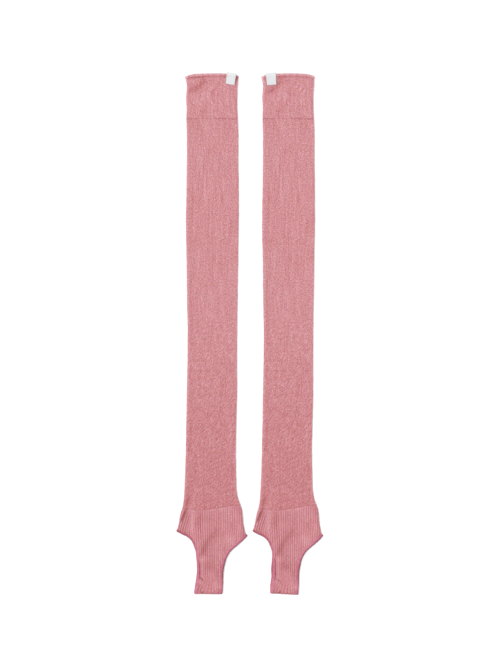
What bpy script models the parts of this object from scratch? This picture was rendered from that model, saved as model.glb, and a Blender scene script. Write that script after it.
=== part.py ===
"""A pair of long knitted stirrup leg warmers, laid out flat side by side.

Each one is a flattened knitted tube. It has a doubled welt with a rolled rim and a folded label
at the top, a plain leg, and a ribbed ankle that narrows to a strap for under the foot. The
strap's front and back join at a fold. An overlocked edge runs round the heel opening and round
the toe opening. Metres, +Z up off the surface, +Y from the strap towards the welt.

On a leg warmer, a place is (across, down, up): across from its own centre line, down from the
highest point of its rim, and up from the surface.
"""

import math
from collections import namedtuple
from functools import partial

import bmesh
import bpy
import numpy as np

# The cloth.
WALL = 0.0015  # plain knit and rib
WELT_WALL = 0.0019  # doubled band
GAP = 0.0004  # between the front and back panels
FOLD_GAP = 0.0010  # inside the side folds, which stay a little open
FOLD_REACH = 0.009  # how far in from a side fold the extra gap goes
SEAM = 0.0003  # between two pieces

# The pair.
LEG_SPACING = 0.1219  # between the two centre lines
WELT_DEPTH = 0.0716
STRAP_FOLD = 0.8321  # where the strap starts to turn under
OUTLINE_END = 0.8339

# The welt's mouth and its rolled rim, which stands out over a groove.
MOUTH_GAP = 0.0022
MOUTH_REACH = 0.030
RIM_HEIGHT = 0.0052
RIM_LIFT = 0.0006
RIM_SPREAD = 0.0020
RIM_ROUNDING = 0.0007  # how much thinner its very edge is
RIM_ROWS = (0.0, 0.18, 0.5, 0.82, 1.08, 1.45)  # shares of the rim's height
GROOVE_DOWN = 0.0057
GROOVE_DEPTH = 0.0003
GROOVE_SPREAD = 0.0010

# The ribs of the ankle.
RIBS = 26
RIB_HEIGHT = 0.0006
RIB_PROFILE = (0.0, 0.75, 1.0, 0.75)  # share of the height, from one groove to the next
FAN_RIBS = 5  # ribs beside each side fold that lean with it
LEAN_FROM = 0.8050  # down the strap, its ribs lean towards the heel side
LEAN_MOST = 0.0050
LEAN_INNER, LEAN_OUTER = -0.0020, -0.0240  # across, from no lean to the most
LEAN_FADE = 0.0180  # how far from the side fold it fades out again, past the strap

# The overlocked edges: a flat oval section, as shares of half the width and half the thickness.
BINDING_THICK = 0.0015
BINDING_SECTION = ((1.0, 0.0), (0.6, 1.0), (-0.6, 1.0), (-1.0, 0.0), (-0.6, -1.0), (0.6, -1.0))
FRONT_STRAND = 0.0020  # height of the underside of the edge's front run

# The label.
LABEL_THICK = 0.0010
LABEL_ROWS = (1.0, 0.75, 0.5, 0.35)  # down its front leaf, as shares of its length
LABEL_TUCK = 0.0055  # how far it reaches down inside the mouth
LABEL_SLACK = 0.0015  # how far round it is kept clear of the band
BEND_SHARE = 0.8  # its bend over the rim is a little flatter than round
BEND_STEPS = 6

# Side edges of the flat tube, from the rim to the corners of the two openings.
Side = namedtuple("Side", "down left right")
SIDES = (
    Side(0.0000, -0.0414, 0.0413),
    Side(0.0080, -0.0423, 0.0420),
    Side(0.0180, -0.0403, 0.0416),
    Side(0.0400, -0.0413, 0.0408),
    Side(0.0560, -0.0404, 0.0409),
    Side(0.0720, -0.0410, 0.0417),
    Side(0.0912, -0.0403, 0.0426),
    Side(0.1392, -0.0403, 0.0426),
    Side(0.1872, -0.0408, 0.0432),
    Side(0.2432, -0.0417, 0.0431),
    Side(0.2992, -0.0406, 0.0423),
    Side(0.3632, -0.0400, 0.0413),
    Side(0.4112, -0.0389, 0.0407),
    Side(0.4592, -0.0392, 0.0404),
    Side(0.5072, -0.0401, 0.0405),
    Side(0.5552, -0.0410, 0.0395),
    Side(0.6112, -0.0421, 0.0386),
    Side(0.6512, -0.0435, 0.0394),
    Side(0.6672, -0.0442, 0.0400),
    Side(0.6816, -0.0451, 0.0428),
    Side(0.6912, -0.0464, 0.0464),
    Side(0.6992, -0.0485, 0.0484),
    Side(0.7104, -0.0510, 0.0498),
    Side(0.7248, -0.0540, 0.0512),
    Side(0.7340, -0.0560, 0.0530),
)

# The rim's own line: it droops towards the side folds.
Rim = namedtuple("Rim", "across droop")
RIM = (
    Rim(-0.0430, 0.0075),
    Rim(-0.0390, 0.0042),
    Rim(-0.0316, 0.0018),
    Rim(-0.0180, 0.0006),
    Rim(0.0040, 0.0000),
    Rim(0.0240, 0.0006),
    Rim(0.0360, 0.0024),
    Rim(0.0420, 0.0050),
)

# The line where the leg joins the ribbed ankle.
Join = namedtuple("Join", "across down")
JOIN = (
    Join(-0.0500, 0.6968),
    Join(-0.0260, 0.6992),
    Join(-0.0110, 0.6992),
    Join(0.0060, 0.6972),
    Join(0.0250, 0.6942),
    Join(0.0480, 0.6920),
)

# Outer edges of the two openings, from the corner at the side fold down to the strap's fold, and
# how wide the overlocked edge lies there. It rolls under a little along the heel's curve.
Edge = namedtuple("Edge", "across down width")
HEEL_EDGE = (
    Edge(-0.0576, 0.7328, 0.0034),
    Edge(-0.0490, 0.7374, 0.0032),
    Edge(-0.0393, 0.7424, 0.0030),
    Edge(-0.0334, 0.7480, 0.0030),
    Edge(-0.0290, 0.7568, 0.0030),
    Edge(-0.0262, 0.7664, 0.0032),
    Edge(-0.0254, 0.7760, 0.0038),
    Edge(-0.0244, 0.7920, 0.0046),
    Edge(-0.0250, 0.8040, 0.0050),
    Edge(-0.0273, 0.8190, 0.0050),
    Edge(-0.0294, OUTLINE_END, 0.0052),
)
TOE_EDGE = (
    Edge(0.0576, 0.7392, 0.0052),
    Edge(0.0480, 0.7484, 0.0050),
    Edge(0.0383, 0.7568, 0.0050),
    Edge(0.0286, 0.7664, 0.0050),
    Edge(0.0236, 0.7760, 0.0050),
    Edge(0.0200, 0.7892, 0.0046),
    Edge(0.0185, 0.8020, 0.0044),
    Edge(0.0186, 0.8150, 0.0044),
    Edge(0.0170, OUTLINE_END, 0.0050),
)

# How far each layer of the strap reaches out past the heel edge's line.
Reach = namedtuple("Reach", "down front back")
LEFT_STRAP = (
    Reach(0.7760, 0.0000, 0.0000),
    Reach(0.7900, -0.0005, 0.0001),
    Reach(0.8060, -0.0008, 0.0001),
    Reach(0.8150, -0.0007, 0.0004),
    Reach(OUTLINE_END, 0.0001, 0.0003),
)
RIGHT_STRAP = (
    Reach(0.7700, 0.0000, 0.0000),
    Reach(0.7800, 0.0000, 0.0013),
    Reach(0.7900, 0.0000, 0.0028),
    Reach(0.7960, 0.0000, 0.0031),
    Reach(0.8040, 0.0001, 0.0021),
    Reach(0.8180, 0.0004, 0.0016),
    Reach(0.8270, 0.0006, 0.0010),
    Reach(OUTLINE_END, 0.0003, 0.0004),
)

# Soft folds of the front panel: centre, half length, half width, turn from +Y and height.
Fold = namedtuple("Fold", "across down along width turn height")
FOLDS = (
    Fold(-0.0330, 0.7150, 0.0150, 0.0045, -0.10, 0.0005),
    Fold(-0.0120, 0.7420, 0.0190, 0.0060, -0.55, 0.0006),
    Fold(0.0000, 0.7900, 0.0200, 0.0080, 0.00, 0.0004),
    Fold(-0.0270, 0.0260, 0.0130, 0.0040, -0.80, 0.0005),
    Fold(0.0150, 0.0420, 0.0200, 0.0090, 0.20, 0.0004),
    Fold(-0.0040, 0.1500, 0.0500, 0.0100, 0.03, 0.0003),
    Fold(0.0200, 0.3300, 0.0600, 0.0110, -0.03, 0.0003),
    Fold(-0.0180, 0.4700, 0.0600, 0.0100, 0.04, 0.0003),
    Fold(0.0050, 0.6200, 0.0450, 0.0120, -0.15, 0.0003),
)

# Each label's centre, size and turn, and each leg warmer's centre line and strap.
Label = namedtuple("Label", "across down width length turn")
LegWarmer = namedtuple("LegWarmer", "name centre label strap")
PAIR = (
    LegWarmer("left", -LEG_SPACING / 2, Label(0.0308, 0.0086, 0.0152, 0.0180, -0.150), LEFT_STRAP),
    LegWarmer("right", LEG_SPACING / 2, Label(-0.0268, 0.0089, 0.0158, 0.0188, 0.075), RIGHT_STRAP),
)

# How finely each piece is divided.
FOLD_STEPS = 4  # facets round a half turn
WELT_COLUMNS = 12
WELT_ROWS_BELOW_RIM = 7
LEG_COLUMNS = 10
LEG_ROWS = 15
LEG_CROWDING = 1.6  # its rows crowd towards the ankle, where its sides curve most
BACK_COLUMNS = 13  # on the ankle
ANKLE_COLUMNS = RIBS * len(RIB_PROFILE)
ANKLE_ROWS = 11
EDGE_STATIONS = 15
CURVE_STEPS = 20  # short steps to each station, to measure along a curve

# The blocks that cut the openings.
FAR = 0.090  # past everything
CUT_PAST = 0.020  # how far a block runs on past both ends of its edge
CUTTER_TOP = 0.020

# One material for each kind of piece: colour, roughness.
Finish = namedtuple("Finish", "colour roughness")
FINISHES = {
    "welt": Finish((0.645, 0.291, 0.315), 0.92),
    "leg": Finish((0.635, 0.285, 0.310), 0.92),
    "ankle": Finish((0.605, 0.251, 0.275), 0.90),
    "heel_binding": Finish((0.520, 0.135, 0.240), 0.85),
    "toe_binding": Finish((0.520, 0.135, 0.240), 0.85),
    "label": Finish((0.860, 0.860, 0.870), 0.70),
}


# --- Smooth curves through the tables -------------------------------------------------------------


def smooth(knots, values, at):
    """A smooth curve through values at knots, at one place or many, and level past both ends."""
    knots, values = np.asarray(knots, float), np.asarray(values, float)
    at = np.clip(np.asarray(at, float), knots[0], knots[-1])
    slopes = np.gradient(values, knots, axis=0)
    i = np.clip(np.searchsorted(knots, at, side="right") - 1, 0, len(knots) - 2)
    step = knots[i + 1] - knots[i]
    t = (at - knots[i]) / step
    if values.ndim > 1:
        t, step = t[..., None], step[..., None]
    start = (1 + 2 * t) * (1 - t) ** 2 * values[i] + t * (1 - t) ** 2 * step * slopes[i]
    end = t * t * (3 - 2 * t) * values[i + 1] - t * t * (1 - t) * step * slopes[i + 1]
    return start + end


def read(rows, by, column, at):
    """One column of a table, on a smooth curve by another column."""
    return smooth([getattr(row, by) for row in rows], [getattr(row, column) for row in rows], at)


def left_side(down):
    return read(SIDES, "down", "left", down)


def right_side(down):
    return read(SIDES, "down", "right", down)


def side_place(side_of, depth_at):
    """Where a row that isn't straight across meets a side fold, as (across, down)."""
    across = float(side_of(0.0))
    for _ in range(3):
        across = float(side_of(depth_at(across)))
    return across, depth_at(across)


def rim_droop(across):
    return read(RIM, "across", "droop", across)


def join_line(across):
    return read(JOIN, "across", "down", across)


def ease(t):
    """0 to 1, with no slope at either end."""
    t = np.clip(t, 0.0, 1.0)
    return t * t * (3 - 2 * t)


# --- The shape of the flattened tube --------------------------------------------------------------


def from_side(across, down):
    """How far a place is from the nearer side fold."""
    return max(0.0, min(across - left_side(down), right_side(down) - across))


def lift(across, down):
    """How far the soft folds raise the front panel, which stays down along its side folds."""
    total = 0.0
    for fold in FOLDS:
        x, y = across - fold.across, fold.down - down
        along = x * math.sin(fold.turn) + y * math.cos(fold.turn)
        wide = x * math.cos(fold.turn) - y * math.sin(fold.turn)
        total += fold.height * math.exp(-((along / fold.along) ** 2) - (wide / fold.width) ** 2)
    return total * (1 - math.exp(-((from_side(across, down) / FOLD_REACH) ** 2)))


def open_gap(across, down):
    """The gap between the panels: widest in the mouth, a little open at the folds."""
    mouth = (MOUTH_GAP - FOLD_GAP) * (1 - ease((down - rim_droop(across)) / MOUTH_REACH))
    side = math.exp(-((from_side(across, down) / FOLD_REACH) ** 2))
    resting = GAP + (FOLD_GAP - GAP) * max(side, 1 - ease(down / MOUTH_REACH))
    return float(resting + mouth)


def rim_relief(below_rim):
    """The rolled rim stands out from the band, over a groove."""
    roll = RIM_LIFT * math.exp(-(((below_rim - RIM_HEIGHT / 2) / RIM_SPREAD) ** 2))
    groove = GROOVE_DEPTH * math.exp(-(((below_rim - GROOVE_DOWN) / GROOVE_SPREAD) ** 2))
    return roll - groove


def front_inside(across, down, wall):
    """Height of the front panel's inner face."""
    return wall + open_gap(across, down) + lift(across, down)


def place(across, down, up):
    return (across, -down, up)


# --- Walls of cloth -------------------------------------------------------------------------------


class Wall:
    """Cloth of some thickness: the same cells on an outer and an inner face, closed along free edges."""

    def __init__(self):
        self.points = {}
        self.cells = []

    def put(self, key, outer, inner):
        self.points[key] = (outer, inner)

    def join_rows(self, first, second):
        """Cells between two rows of keys that match one to one."""
        for a, b, c, d in zip(first, first[1:], second[1:], second):
            self.cells.append((a, b, c, d))

    def mesh(self, name):
        bm = bmesh.new()
        outer = {key: bm.verts.new(place(*pair[0])) for key, pair in self.points.items()}
        inner = {key: bm.verts.new(place(*pair[1])) for key, pair in self.points.items()}
        free = {}
        for cell in self.cells:
            bm.faces.new([outer[key] for key in cell])
            bm.faces.new([inner[key] for key in reversed(cell)])
            for a, b in zip(cell, cell[1:] + cell[:1]):
                if free.pop((b, a), None) is None:
                    free[(a, b)] = True
        for a, b in free:
            bm.faces.new((outer[b], outer[a], inner[a], inner[b]))
        bmesh.ops.recalc_face_normals(bm, faces=bm.faces)
        bmesh.ops.triangulate(bm, faces=bm.faces)
        mesh = bpy.data.meshes.new(name)
        bm.to_mesh(mesh)
        bm.free()
        return mesh


def ring_spots(front_columns, back_columns):
    """The places round a flat tube, as (part of the ring, share of that part)."""
    spots = [("front", k / front_columns) for k in range(front_columns + 1)]
    spots += [("right", k / FOLD_STEPS) for k in range(1, FOLD_STEPS)]
    spots += [("back", k / back_columns) for k in range(back_columns, -1, -1)]
    spots += [("left", k / FOLD_STEPS) for k in range(1, FOLD_STEPS)]
    return spots


def fold_place(part, share, side, wall, gap, extra=0.0):
    """Outer and inner (across, up) of a place on a side fold: two half circles about one centre."""
    radius = wall + gap / 2
    turn = math.pi * share
    outward = 1 if part == "right" else -1
    middle = side - outward * radius
    across, up = outward * math.sin(turn), outward * math.cos(turn)
    outer = (middle + (radius + extra) * across, radius + radius * up)
    inner = (middle + gap / 2 * across, radius + gap / 2 * up)
    return outer, inner


def put_fold(cloth, row, part, share, side, wall, gap, extra=0.0):
    across, down = side
    outer, inner = fold_place(part, share, across, wall, gap, extra)
    cloth.put((row, part, share), (outer[0], down, outer[1]), (inner[0], down, inner[1]))


def put_panel(cloth, key, across, down, wall, relief):
    """A place on the flat back panel, or on the front panel over it, raised there by its relief."""
    if key[1] == "back":
        cloth.put(key, (across, down, 0.0), (across, down, wall))
    else:
        inside = front_inside(across, down, wall)
        cloth.put(key, (across, down, inside + wall + relief), (across, down, inside))


def tube(name, wall, columns, rows, down_of, relief_of):
    """A flat tube open at both ends. down_of(row, across) gives each place's depth."""
    cloth = Wall()
    rings = []
    for row in range(rows):
        sides = {}
        for part, side_of in (("left", left_side), ("right", right_side)):
            sides[part] = side_place(side_of, partial(down_of, row))
        gaps = {part: open_gap(*side) for part, side in sides.items()}
        start = sides["left"][0] + wall + gaps["left"] / 2
        end = sides["right"][0] - wall - gaps["right"] / 2
        ring = []
        for part, share in ring_spots(columns, columns):
            if part in sides:
                extra = max(0.0, relief_of(*sides[part]))
                put_fold(cloth, row, part, share, sides[part], wall, gaps[part], extra)
            else:
                across = start + (end - start) * (1 - math.cos(math.pi * share)) / 2
                down = down_of(row, across)
                relief = 0.0 if share in (0.0, 1.0) else relief_of(across, down)
                put_panel(cloth, (row, part, share), across, down, wall, relief)
            ring.append((row, part, share))
        rings.append(ring + ring[:1])
    for first, second in zip(rings, rings[1:]):
        cloth.join_rows(first, second)
    return cloth.mesh(name)


def welt_mesh(name):
    below = [RIM_HEIGHT * share for share in RIM_ROWS]
    rest = WELT_DEPTH - SEAM / 2

    def down_of(row, across):
        droop = float(rim_droop(across))
        if row < len(below):
            return droop + below[row]
        share = (row - len(below) + 1) / WELT_ROWS_BELOW_RIM
        return (droop + below[-1]) * (1 - share) + rest * share

    def relief_of(across, down):
        below_rim = down - float(rim_droop(across))
        rounding = RIM_ROUNDING * max(0.0, 1 - below_rim / below[1])
        return rim_relief(below_rim) - rounding

    return tube(name, WELT_WALL, WELT_COLUMNS, len(below) + WELT_ROWS_BELOW_RIM, down_of, relief_of)


def leg_mesh(name):
    top = WELT_DEPTH + SEAM / 2

    def down_of(row, across):
        share = 1 - (1 - row / LEG_ROWS) ** LEG_CROWDING
        bottom = float(join_line(across)) - SEAM / 2
        return top + (bottom - top) * share

    return tube(name, WALL, LEG_COLUMNS, LEG_ROWS + 1, down_of, lambda across, down: 0.0)


# --- The edges of the two openings ----------------------------------------------------------------


def run_lengths(places):
    """How far along a line each of its places is."""
    steps = np.linalg.norm(np.diff(places, axis=0), axis=1)
    return np.concatenate([[0.0], np.cumsum(steps)])


def edge_path(edge, count, toward_cloth):
    """Even places along a smooth curve through an edge, with tangents, directions to the cloth and widths."""
    knots = np.array(edge, float)
    at = run_lengths(knots[:, :2])
    fine = smooth(at, knots, np.linspace(0.0, at[-1], CURVE_STEPS * count))
    along = run_lengths(fine[:, :2])
    even = np.linspace(0.0, along[-1], count + 1)
    places = np.stack([np.interp(even, along, fine[:, k]) for k in range(3)], axis=1)
    tangents = np.gradient(places[:, :2], axis=0)
    tangents /= np.linalg.norm(tangents, axis=1)[:, None]
    inward = toward_cloth * np.stack([tangents[:, 1], -tangents[:, 0]], axis=1)
    return places[:, :2], tangents, inward, places[:, 2:]


def layer_edge(edge, strap, layer):
    """One layer's own edge: on the strap the layers don't lie quite on each other."""
    return [p._replace(across=p.across - float(read(strap, "down", layer, p.down))) for p in edge]


def opening_cutter(name, edge, toward_cloth, low, high):
    """A block over everything outside one layer's cut edge."""
    places, tangents, inward, widths = edge_path(edge, 2 * EDGE_STATIONS, toward_cloth)
    cut = places + inward * (widths + SEAM)
    start, end = cut[0] - tangents[0] * CUT_PAST, cut[-1] + tangents[-1] * CUT_PAST
    far = -toward_cloth * FAR
    outline = [(far, start[1]), start, *cut, end, (far, end[1])]
    bm = bmesh.new()
    face = bm.faces.new([bm.verts.new(place(x, d, low)) for x, d in outline])
    raised = bmesh.ops.extrude_face_region(bm, geom=[face])["geom"]
    top = [v for v in raised if isinstance(v, bmesh.types.BMVert)]
    bmesh.ops.translate(bm, verts=top, vec=(0, 0, high - low))
    bmesh.ops.recalc_face_normals(bm, faces=bm.faces)
    mesh = bpy.data.meshes.new(name)
    bm.to_mesh(mesh)
    bm.free()
    return mesh


def binding_mesh(name, front, back, toward_cloth):
    """An overlocked edge: a flat closed loop along the front layer, round the strap's fold and back."""
    thick = BINDING_THICK / 2
    low, high = thick, FRONT_STRAND + thick
    bend = (high - low) / 2
    trim = bend + thick

    def strand(edge):
        places, tangents, inward, widths = edge_path(edge, EDGE_STATIONS, toward_cloth)
        centre = places + inward * widths / 2
        centre[0] += tangents[0] * trim
        centre[-1] -= tangents[-1] * trim
        return centre, tangents, -inward, widths / 2

    def turn(start, end, heading, outward, half):
        stations = []
        for k in range(1, FOLD_STEPS):
            angle = math.pi * k / FOLD_STEPS
            share = (1 - math.cos(angle)) / 2
            flat = start * (1 - share) + end * share + heading * bend * math.sin(angle)
            up = (low + high) / 2 + bend * math.cos(angle)
            stations.append((flat, up, outward, half, heading * math.sin(angle), math.cos(angle)))
        return stations

    over, heading, over_out, half = strand(front)
    under, _, under_out, _ = strand(back)
    level = np.zeros(2)
    stations = [(p, high, out, h, level, 1.0) for p, out, h in zip(over, over_out, half)]
    stations += turn(over[-1], under[-1], heading[-1], over_out[-1], half[-1])
    stations += [(p, low, out, h, level, -1.0) for p, out, h in zip(under, under_out, half)][::-1]
    stations += turn(over[0], under[0], -heading[0], over_out[0], half[0])[::-1]

    bm = bmesh.new()
    rings = []
    for flat, up, outward, half_width, lean, rise in stations:
        ring = []
        for wide, tall in BINDING_SECTION:
            spot = flat + outward * half_width * wide + lean * thick * tall
            ring.append(bm.verts.new(place(spot[0], spot[1], up + rise * thick * tall)))
        rings.append(ring)
    for first, second in zip(rings, rings[1:] + rings[:1]):
        for k, near in enumerate(first):
            after = (k + 1) % len(BINDING_SECTION)
            bm.faces.new((near, first[after], second[after], second[k]))
    bmesh.ops.recalc_face_normals(bm, faces=bm.faces)
    mesh = bpy.data.meshes.new(name)
    bm.to_mesh(mesh)
    bm.free()
    return mesh


# --- The ribbed ankle and its strap ---------------------------------------------------------------


def strap_lean(across, down):
    """How far the ribs of the strap have leant towards the heel side."""
    lower = ease((down - LEAN_FROM) / (STRAP_FOLD - LEAN_FROM))
    nearer = ease((across - LEAN_INNER) / (LEAN_OUTER - LEAN_INNER))
    inside = ease((across - SIDES[-1].left - WALL - FOLD_GAP / 2) / LEAN_FADE)
    return LEAN_MOST * float(lower * nearer * inside)


def ankle_mesh(name):
    """The ribbed tube down to the strap's fold, before the two openings are cut."""
    cloth = Wall()
    radius = WALL + FOLD_GAP / 2
    fan = FAN_RIBS * len(RIB_PROFILE)
    every = ANKLE_COLUMNS // BACK_COLUMNS

    def down_of(row, across):
        start = float(join_line(across)) + SEAM / 2
        return start + (STRAP_FOLD - start) * row / ANKLE_ROWS

    def sides_of(row):
        depth_at = partial(down_of, row)
        return {"left": side_place(left_side, depth_at), "right": side_place(right_side, depth_at)}

    top = sides_of(0)
    top_left, top_right = top["left"][0] + radius, top["right"][0] - radius

    def across_of(row, column, sides):
        base = top_left + (top_right - top_left) * column / ANKLE_COLUMNS
        lean_left = ease(1 - column / fan) * (sides["left"][0] + radius - top_left)
        lean_right = ease(1 - (ANKLE_COLUMNS - column) / fan) * (sides["right"][0] - radius - top_right)
        across = float(base + lean_left + lean_right)
        return across - strap_lean(across, down_of(row, across))

    rings = []
    for row in range(ANKLE_ROWS + 1):
        sides = sides_of(row)
        ring = []
        for part, share in ring_spots(ANKLE_COLUMNS, BACK_COLUMNS):
            key = (row, part, share)
            if part in sides:
                put_fold(cloth, row, part, share, sides[part], WALL, FOLD_GAP)
            else:
                column = round(share * ANKLE_COLUMNS)
                key = (row, part, column)
                across = across_of(row, column, sides)
                rib = RIB_HEIGHT * RIB_PROFILE[column % len(RIB_PROFILE)]
                put_panel(cloth, key, across, down_of(row, across), WALL, rib)
            ring.append(key)
        rings.append(ring + ring[:1])
    for first, second in zip(rings, rings[1:]):
        cloth.join_rows(first, second)
    turn_strap_under(cloth, every)
    return cloth.mesh(name)


def turn_strap_under(cloth, every):
    """Rows that take the front panel round the fold under the foot, to the back panel."""
    columns = range(ANKLE_COLUMNS + 1)
    front = [(ANKLE_ROWS, "front", column) for column in columns]
    rows = [front]
    for step in range(1, FOLD_STEPS):
        turn = math.pi * step / FOLD_STEPS
        for column in columns:
            spots = []
            for (across, down, up), bottom in zip(cloth.points[front[column]], (0.0, WALL)):
                reach = (up - bottom) / 2
                level = bottom + reach * (1 + math.cos(turn))
                spots.append((across, down + reach * math.sin(turn), level))
            cloth.put((step, "under", column), *spots)
        rows.append([(step, "under", column) for column in columns])
        cloth.join_rows(rows[-2], rows[-1])
    for column in range(0, ANKLE_COLUMNS, every):
        near, far = (ANKLE_ROWS, "back", column), (ANKLE_ROWS, "back", column + every)
        cloth.cells.append((*rows[-1][column : column + every + 1], far, near))
    close_strap_end(cloth, "left", 0, ("back", "front"))
    close_strap_end(cloth, "right", ANKLE_COLUMNS, ("front", "back"))


def close_strap_end(cloth, side, column, ends):
    """Closes the small gap between a side fold and the end of the fold under the foot."""
    fold = [(ANKLE_ROWS, side, k / FOLD_STEPS) for k in range(1, FOLD_STEPS)]
    under = [(step, "under", column) for step in range(1, FOLD_STEPS)]
    if side == "right":
        under.reverse()
    start, end = ((ANKLE_ROWS, part, column) for part in ends)
    cloth.cells.append((start, *fold, end, *under))


# --- The label ------------------------------------------------------------------------------------


def label_mesh(name, label):
    """A tape folded over the rim: its front leaf, the bend over the rim and a short inner leaf."""
    half = label.width / 2
    top = label.down - label.length / 2
    clear = SEAM + LABEL_THICK / 2
    reach = half + LABEL_SLACK
    widths = np.linspace(label.across - reach, label.across + reach, 9)

    def over(down):
        """Clear of the highest place under the leaf, near this depth."""
        heights = []
        for across in widths:
            droop = float(rim_droop(across))
            for near in np.linspace(down - LABEL_SLACK, down + LABEL_SLACK, 5):
                below = max(droop, near)
                outside = front_inside(across, below, WELT_WALL) + WELT_WALL
                heights.append(outside + max(0.0, rim_relief(below - droop)))
        return max(heights) + clear

    tucked = min(open_gap(across, rim_droop(across) + LABEL_TUCK) for across in widths)
    inside = WELT_WALL + tucked - clear
    high = max(over(top + RIM_HEIGHT * share) for share in RIM_ROWS[1:])
    bend = (high - inside) / 2
    profile = [(top + label.length * share, over(top + label.length * share)) for share in LABEL_ROWS]
    start = top + (bend + LABEL_THICK / 2) * BEND_SHARE
    for step in range(BEND_STEPS + 1):
        turn = math.pi * step / BEND_STEPS
        profile.append((start - bend * BEND_SHARE * math.sin(turn), inside + bend * (1 + math.cos(turn))))
    profile.append((start + LABEL_TUCK, inside))
    bm = bmesh.new()
    sides = []
    for across in (-half, half):
        sides.append([bm.verts.new((across, label.down - down, up)) for down, up in profile])
    for a, b, c, d in zip(sides[0], sides[1], sides[1][1:], sides[0][1:]):
        bm.faces.new((a, b, c, d))
    bmesh.ops.recalc_face_normals(bm, faces=bm.faces)
    mesh = bpy.data.meshes.new(name)
    bm.to_mesh(mesh)
    bm.free()
    return mesh


# --- Objects --------------------------------------------------------------------------------------


def clear_scene():
    for thing in list(bpy.data.objects):
        bpy.data.objects.remove(thing, do_unlink=True)


def new_collection(name):
    found = bpy.data.collections.new(name)
    bpy.context.scene.collection.children.link(found)
    return found


def new_material(name, finish):
    material = bpy.data.materials.new(name)
    material.use_nodes = True
    shader = material.node_tree.nodes["Principled BSDF"]
    shader.inputs["Base Color"].default_value = (*finish.colour, 1.0)
    shader.inputs["Roughness"].default_value = finish.roughness
    shader.inputs["Metallic"].default_value = 0.0
    return material


def add_object(name, mesh, collection, parent, material=None):
    thing = bpy.data.objects.new(name, mesh)
    collection.objects.link(thing)
    thing.parent = parent
    if material:
        mesh.materials.append(material)
    return thing


def cut_openings(ankle, leg, cutters, holder):
    """Cuts the heel and toe openings through each layer of the ankle."""
    below, above = WALL + GAP / 4, WALL + GAP * 3 / 4
    blocks = (
        ("heel_front", layer_edge(HEEL_EDGE, leg.strap, "front"), 1, below, CUTTER_TOP),
        ("heel_back", layer_edge(HEEL_EDGE, leg.strap, "back"), 1, -CUTTER_TOP, above),
        ("toe", TOE_EDGE, -1, -CUTTER_TOP, CUTTER_TOP),
    )
    for what, edge, toward_cloth, low, high in blocks:
        name = f"{leg.name}_{what}_cutter"
        mesh = opening_cutter(name, edge, toward_cloth, low, high)
        cutter = add_object(name, mesh, cutters, holder)
        cutter.hide_render = True
        cutter.display_type = "WIRE"
        cut = ankle.modifiers.new(what, "BOOLEAN")
        cut.operation = "DIFFERENCE"
        cut.object = cutter


def add_leg_warmer(leg, parts, cutters, materials):
    holder = bpy.data.objects.new(f"{leg.name}_leg_warmer", None)
    parts.objects.link(holder)
    holder.location = (leg.centre, 0.0, 0.0)
    heel = [layer_edge(HEEL_EDGE, leg.strap, layer) for layer in ("front", "back")]
    meshes = {
        "welt": welt_mesh("welt"),
        "leg": leg_mesh("leg"),
        "ankle": ankle_mesh("ankle"),
        "heel_binding": binding_mesh("heel_binding", *heel, 1),
        "toe_binding": binding_mesh("toe_binding", TOE_EDGE, TOE_EDGE, -1),
        "label": label_mesh("label", leg.label),
    }
    things = {}
    for kind, mesh in meshes.items():
        things[kind] = add_object(f"{leg.name}_{kind}", mesh, parts, holder, materials[kind])
    cut_openings(things["ankle"], leg, cutters, holder)
    label = things["label"]
    label.location = place(leg.label.across, leg.label.down, 0.0)
    label.rotation_euler = (0.0, 0.0, leg.label.turn)
    shell = label.modifiers.new("tape", "SOLIDIFY")
    shell.thickness = LABEL_THICK
    shell.offset = 0.0
    return holder


def centre_pair(holders, parts):
    """Moves the pair so that the middle of its underside is at the origin."""
    bpy.context.view_layer.update()
    graph = bpy.context.evaluated_depsgraph_get()
    corners = []
    for thing in parts.objects:
        if thing.type == "MESH":
            seen = thing.evaluated_get(graph)
            corners += [seen.matrix_world @ v.co for v in seen.to_mesh().vertices]
            seen.to_mesh_clear()
    middle = [(min(c[k] for c in corners) + max(c[k] for c in corners)) / 2 for k in (0, 1)]
    for holder in holders:
        holder.location.x -= middle[0]
        holder.location.y -= middle[1]


def main():
    clear_scene()
    parts = new_collection("leg_warmers")
    cutters = new_collection("leg_warmer_cutters")
    cutters.hide_render = True
    materials = {kind: new_material(kind, finish) for kind, finish in FINISHES.items()}
    holders = [add_leg_warmer(leg, parts, cutters, materials) for leg in PAIR]
    centre_pair(holders, parts)


main()
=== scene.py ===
"""Dresses a pair of long stirrup leg warmers in knitted cloth, and sets the stage they lie on.

On a leg warmer, a place is (across, down, up): across from its own centre line, down from the
highest point of its rim, and up from the surface. Everything is in metres.
"""

import math
from collections import namedtuple
from functools import partial

import bmesh
import bpy
import numpy as np
from bpy.props import FloatProperty, FloatVectorProperty, IntProperty, PointerProperty
from mathutils import Matrix, Vector


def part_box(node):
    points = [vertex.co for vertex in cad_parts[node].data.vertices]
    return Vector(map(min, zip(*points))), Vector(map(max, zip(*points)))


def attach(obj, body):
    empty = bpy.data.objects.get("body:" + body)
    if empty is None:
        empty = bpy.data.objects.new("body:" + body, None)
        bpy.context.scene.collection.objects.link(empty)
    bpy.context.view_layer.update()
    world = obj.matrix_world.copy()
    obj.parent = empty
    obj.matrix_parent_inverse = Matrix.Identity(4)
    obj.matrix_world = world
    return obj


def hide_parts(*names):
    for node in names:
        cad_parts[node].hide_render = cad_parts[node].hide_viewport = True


bl_info = {
    "name": "Stirrup leg warmers",
    "version": (1, 0, 0),
    "blender": (4, 5, 0),
    "location": "View3D > Sidebar > Leg Warmers",
    "description": "Knits the bands, legs, ribbed ankles, edges and labels of a pair of leg warmers",
    "category": "Add Mesh",
}

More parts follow.
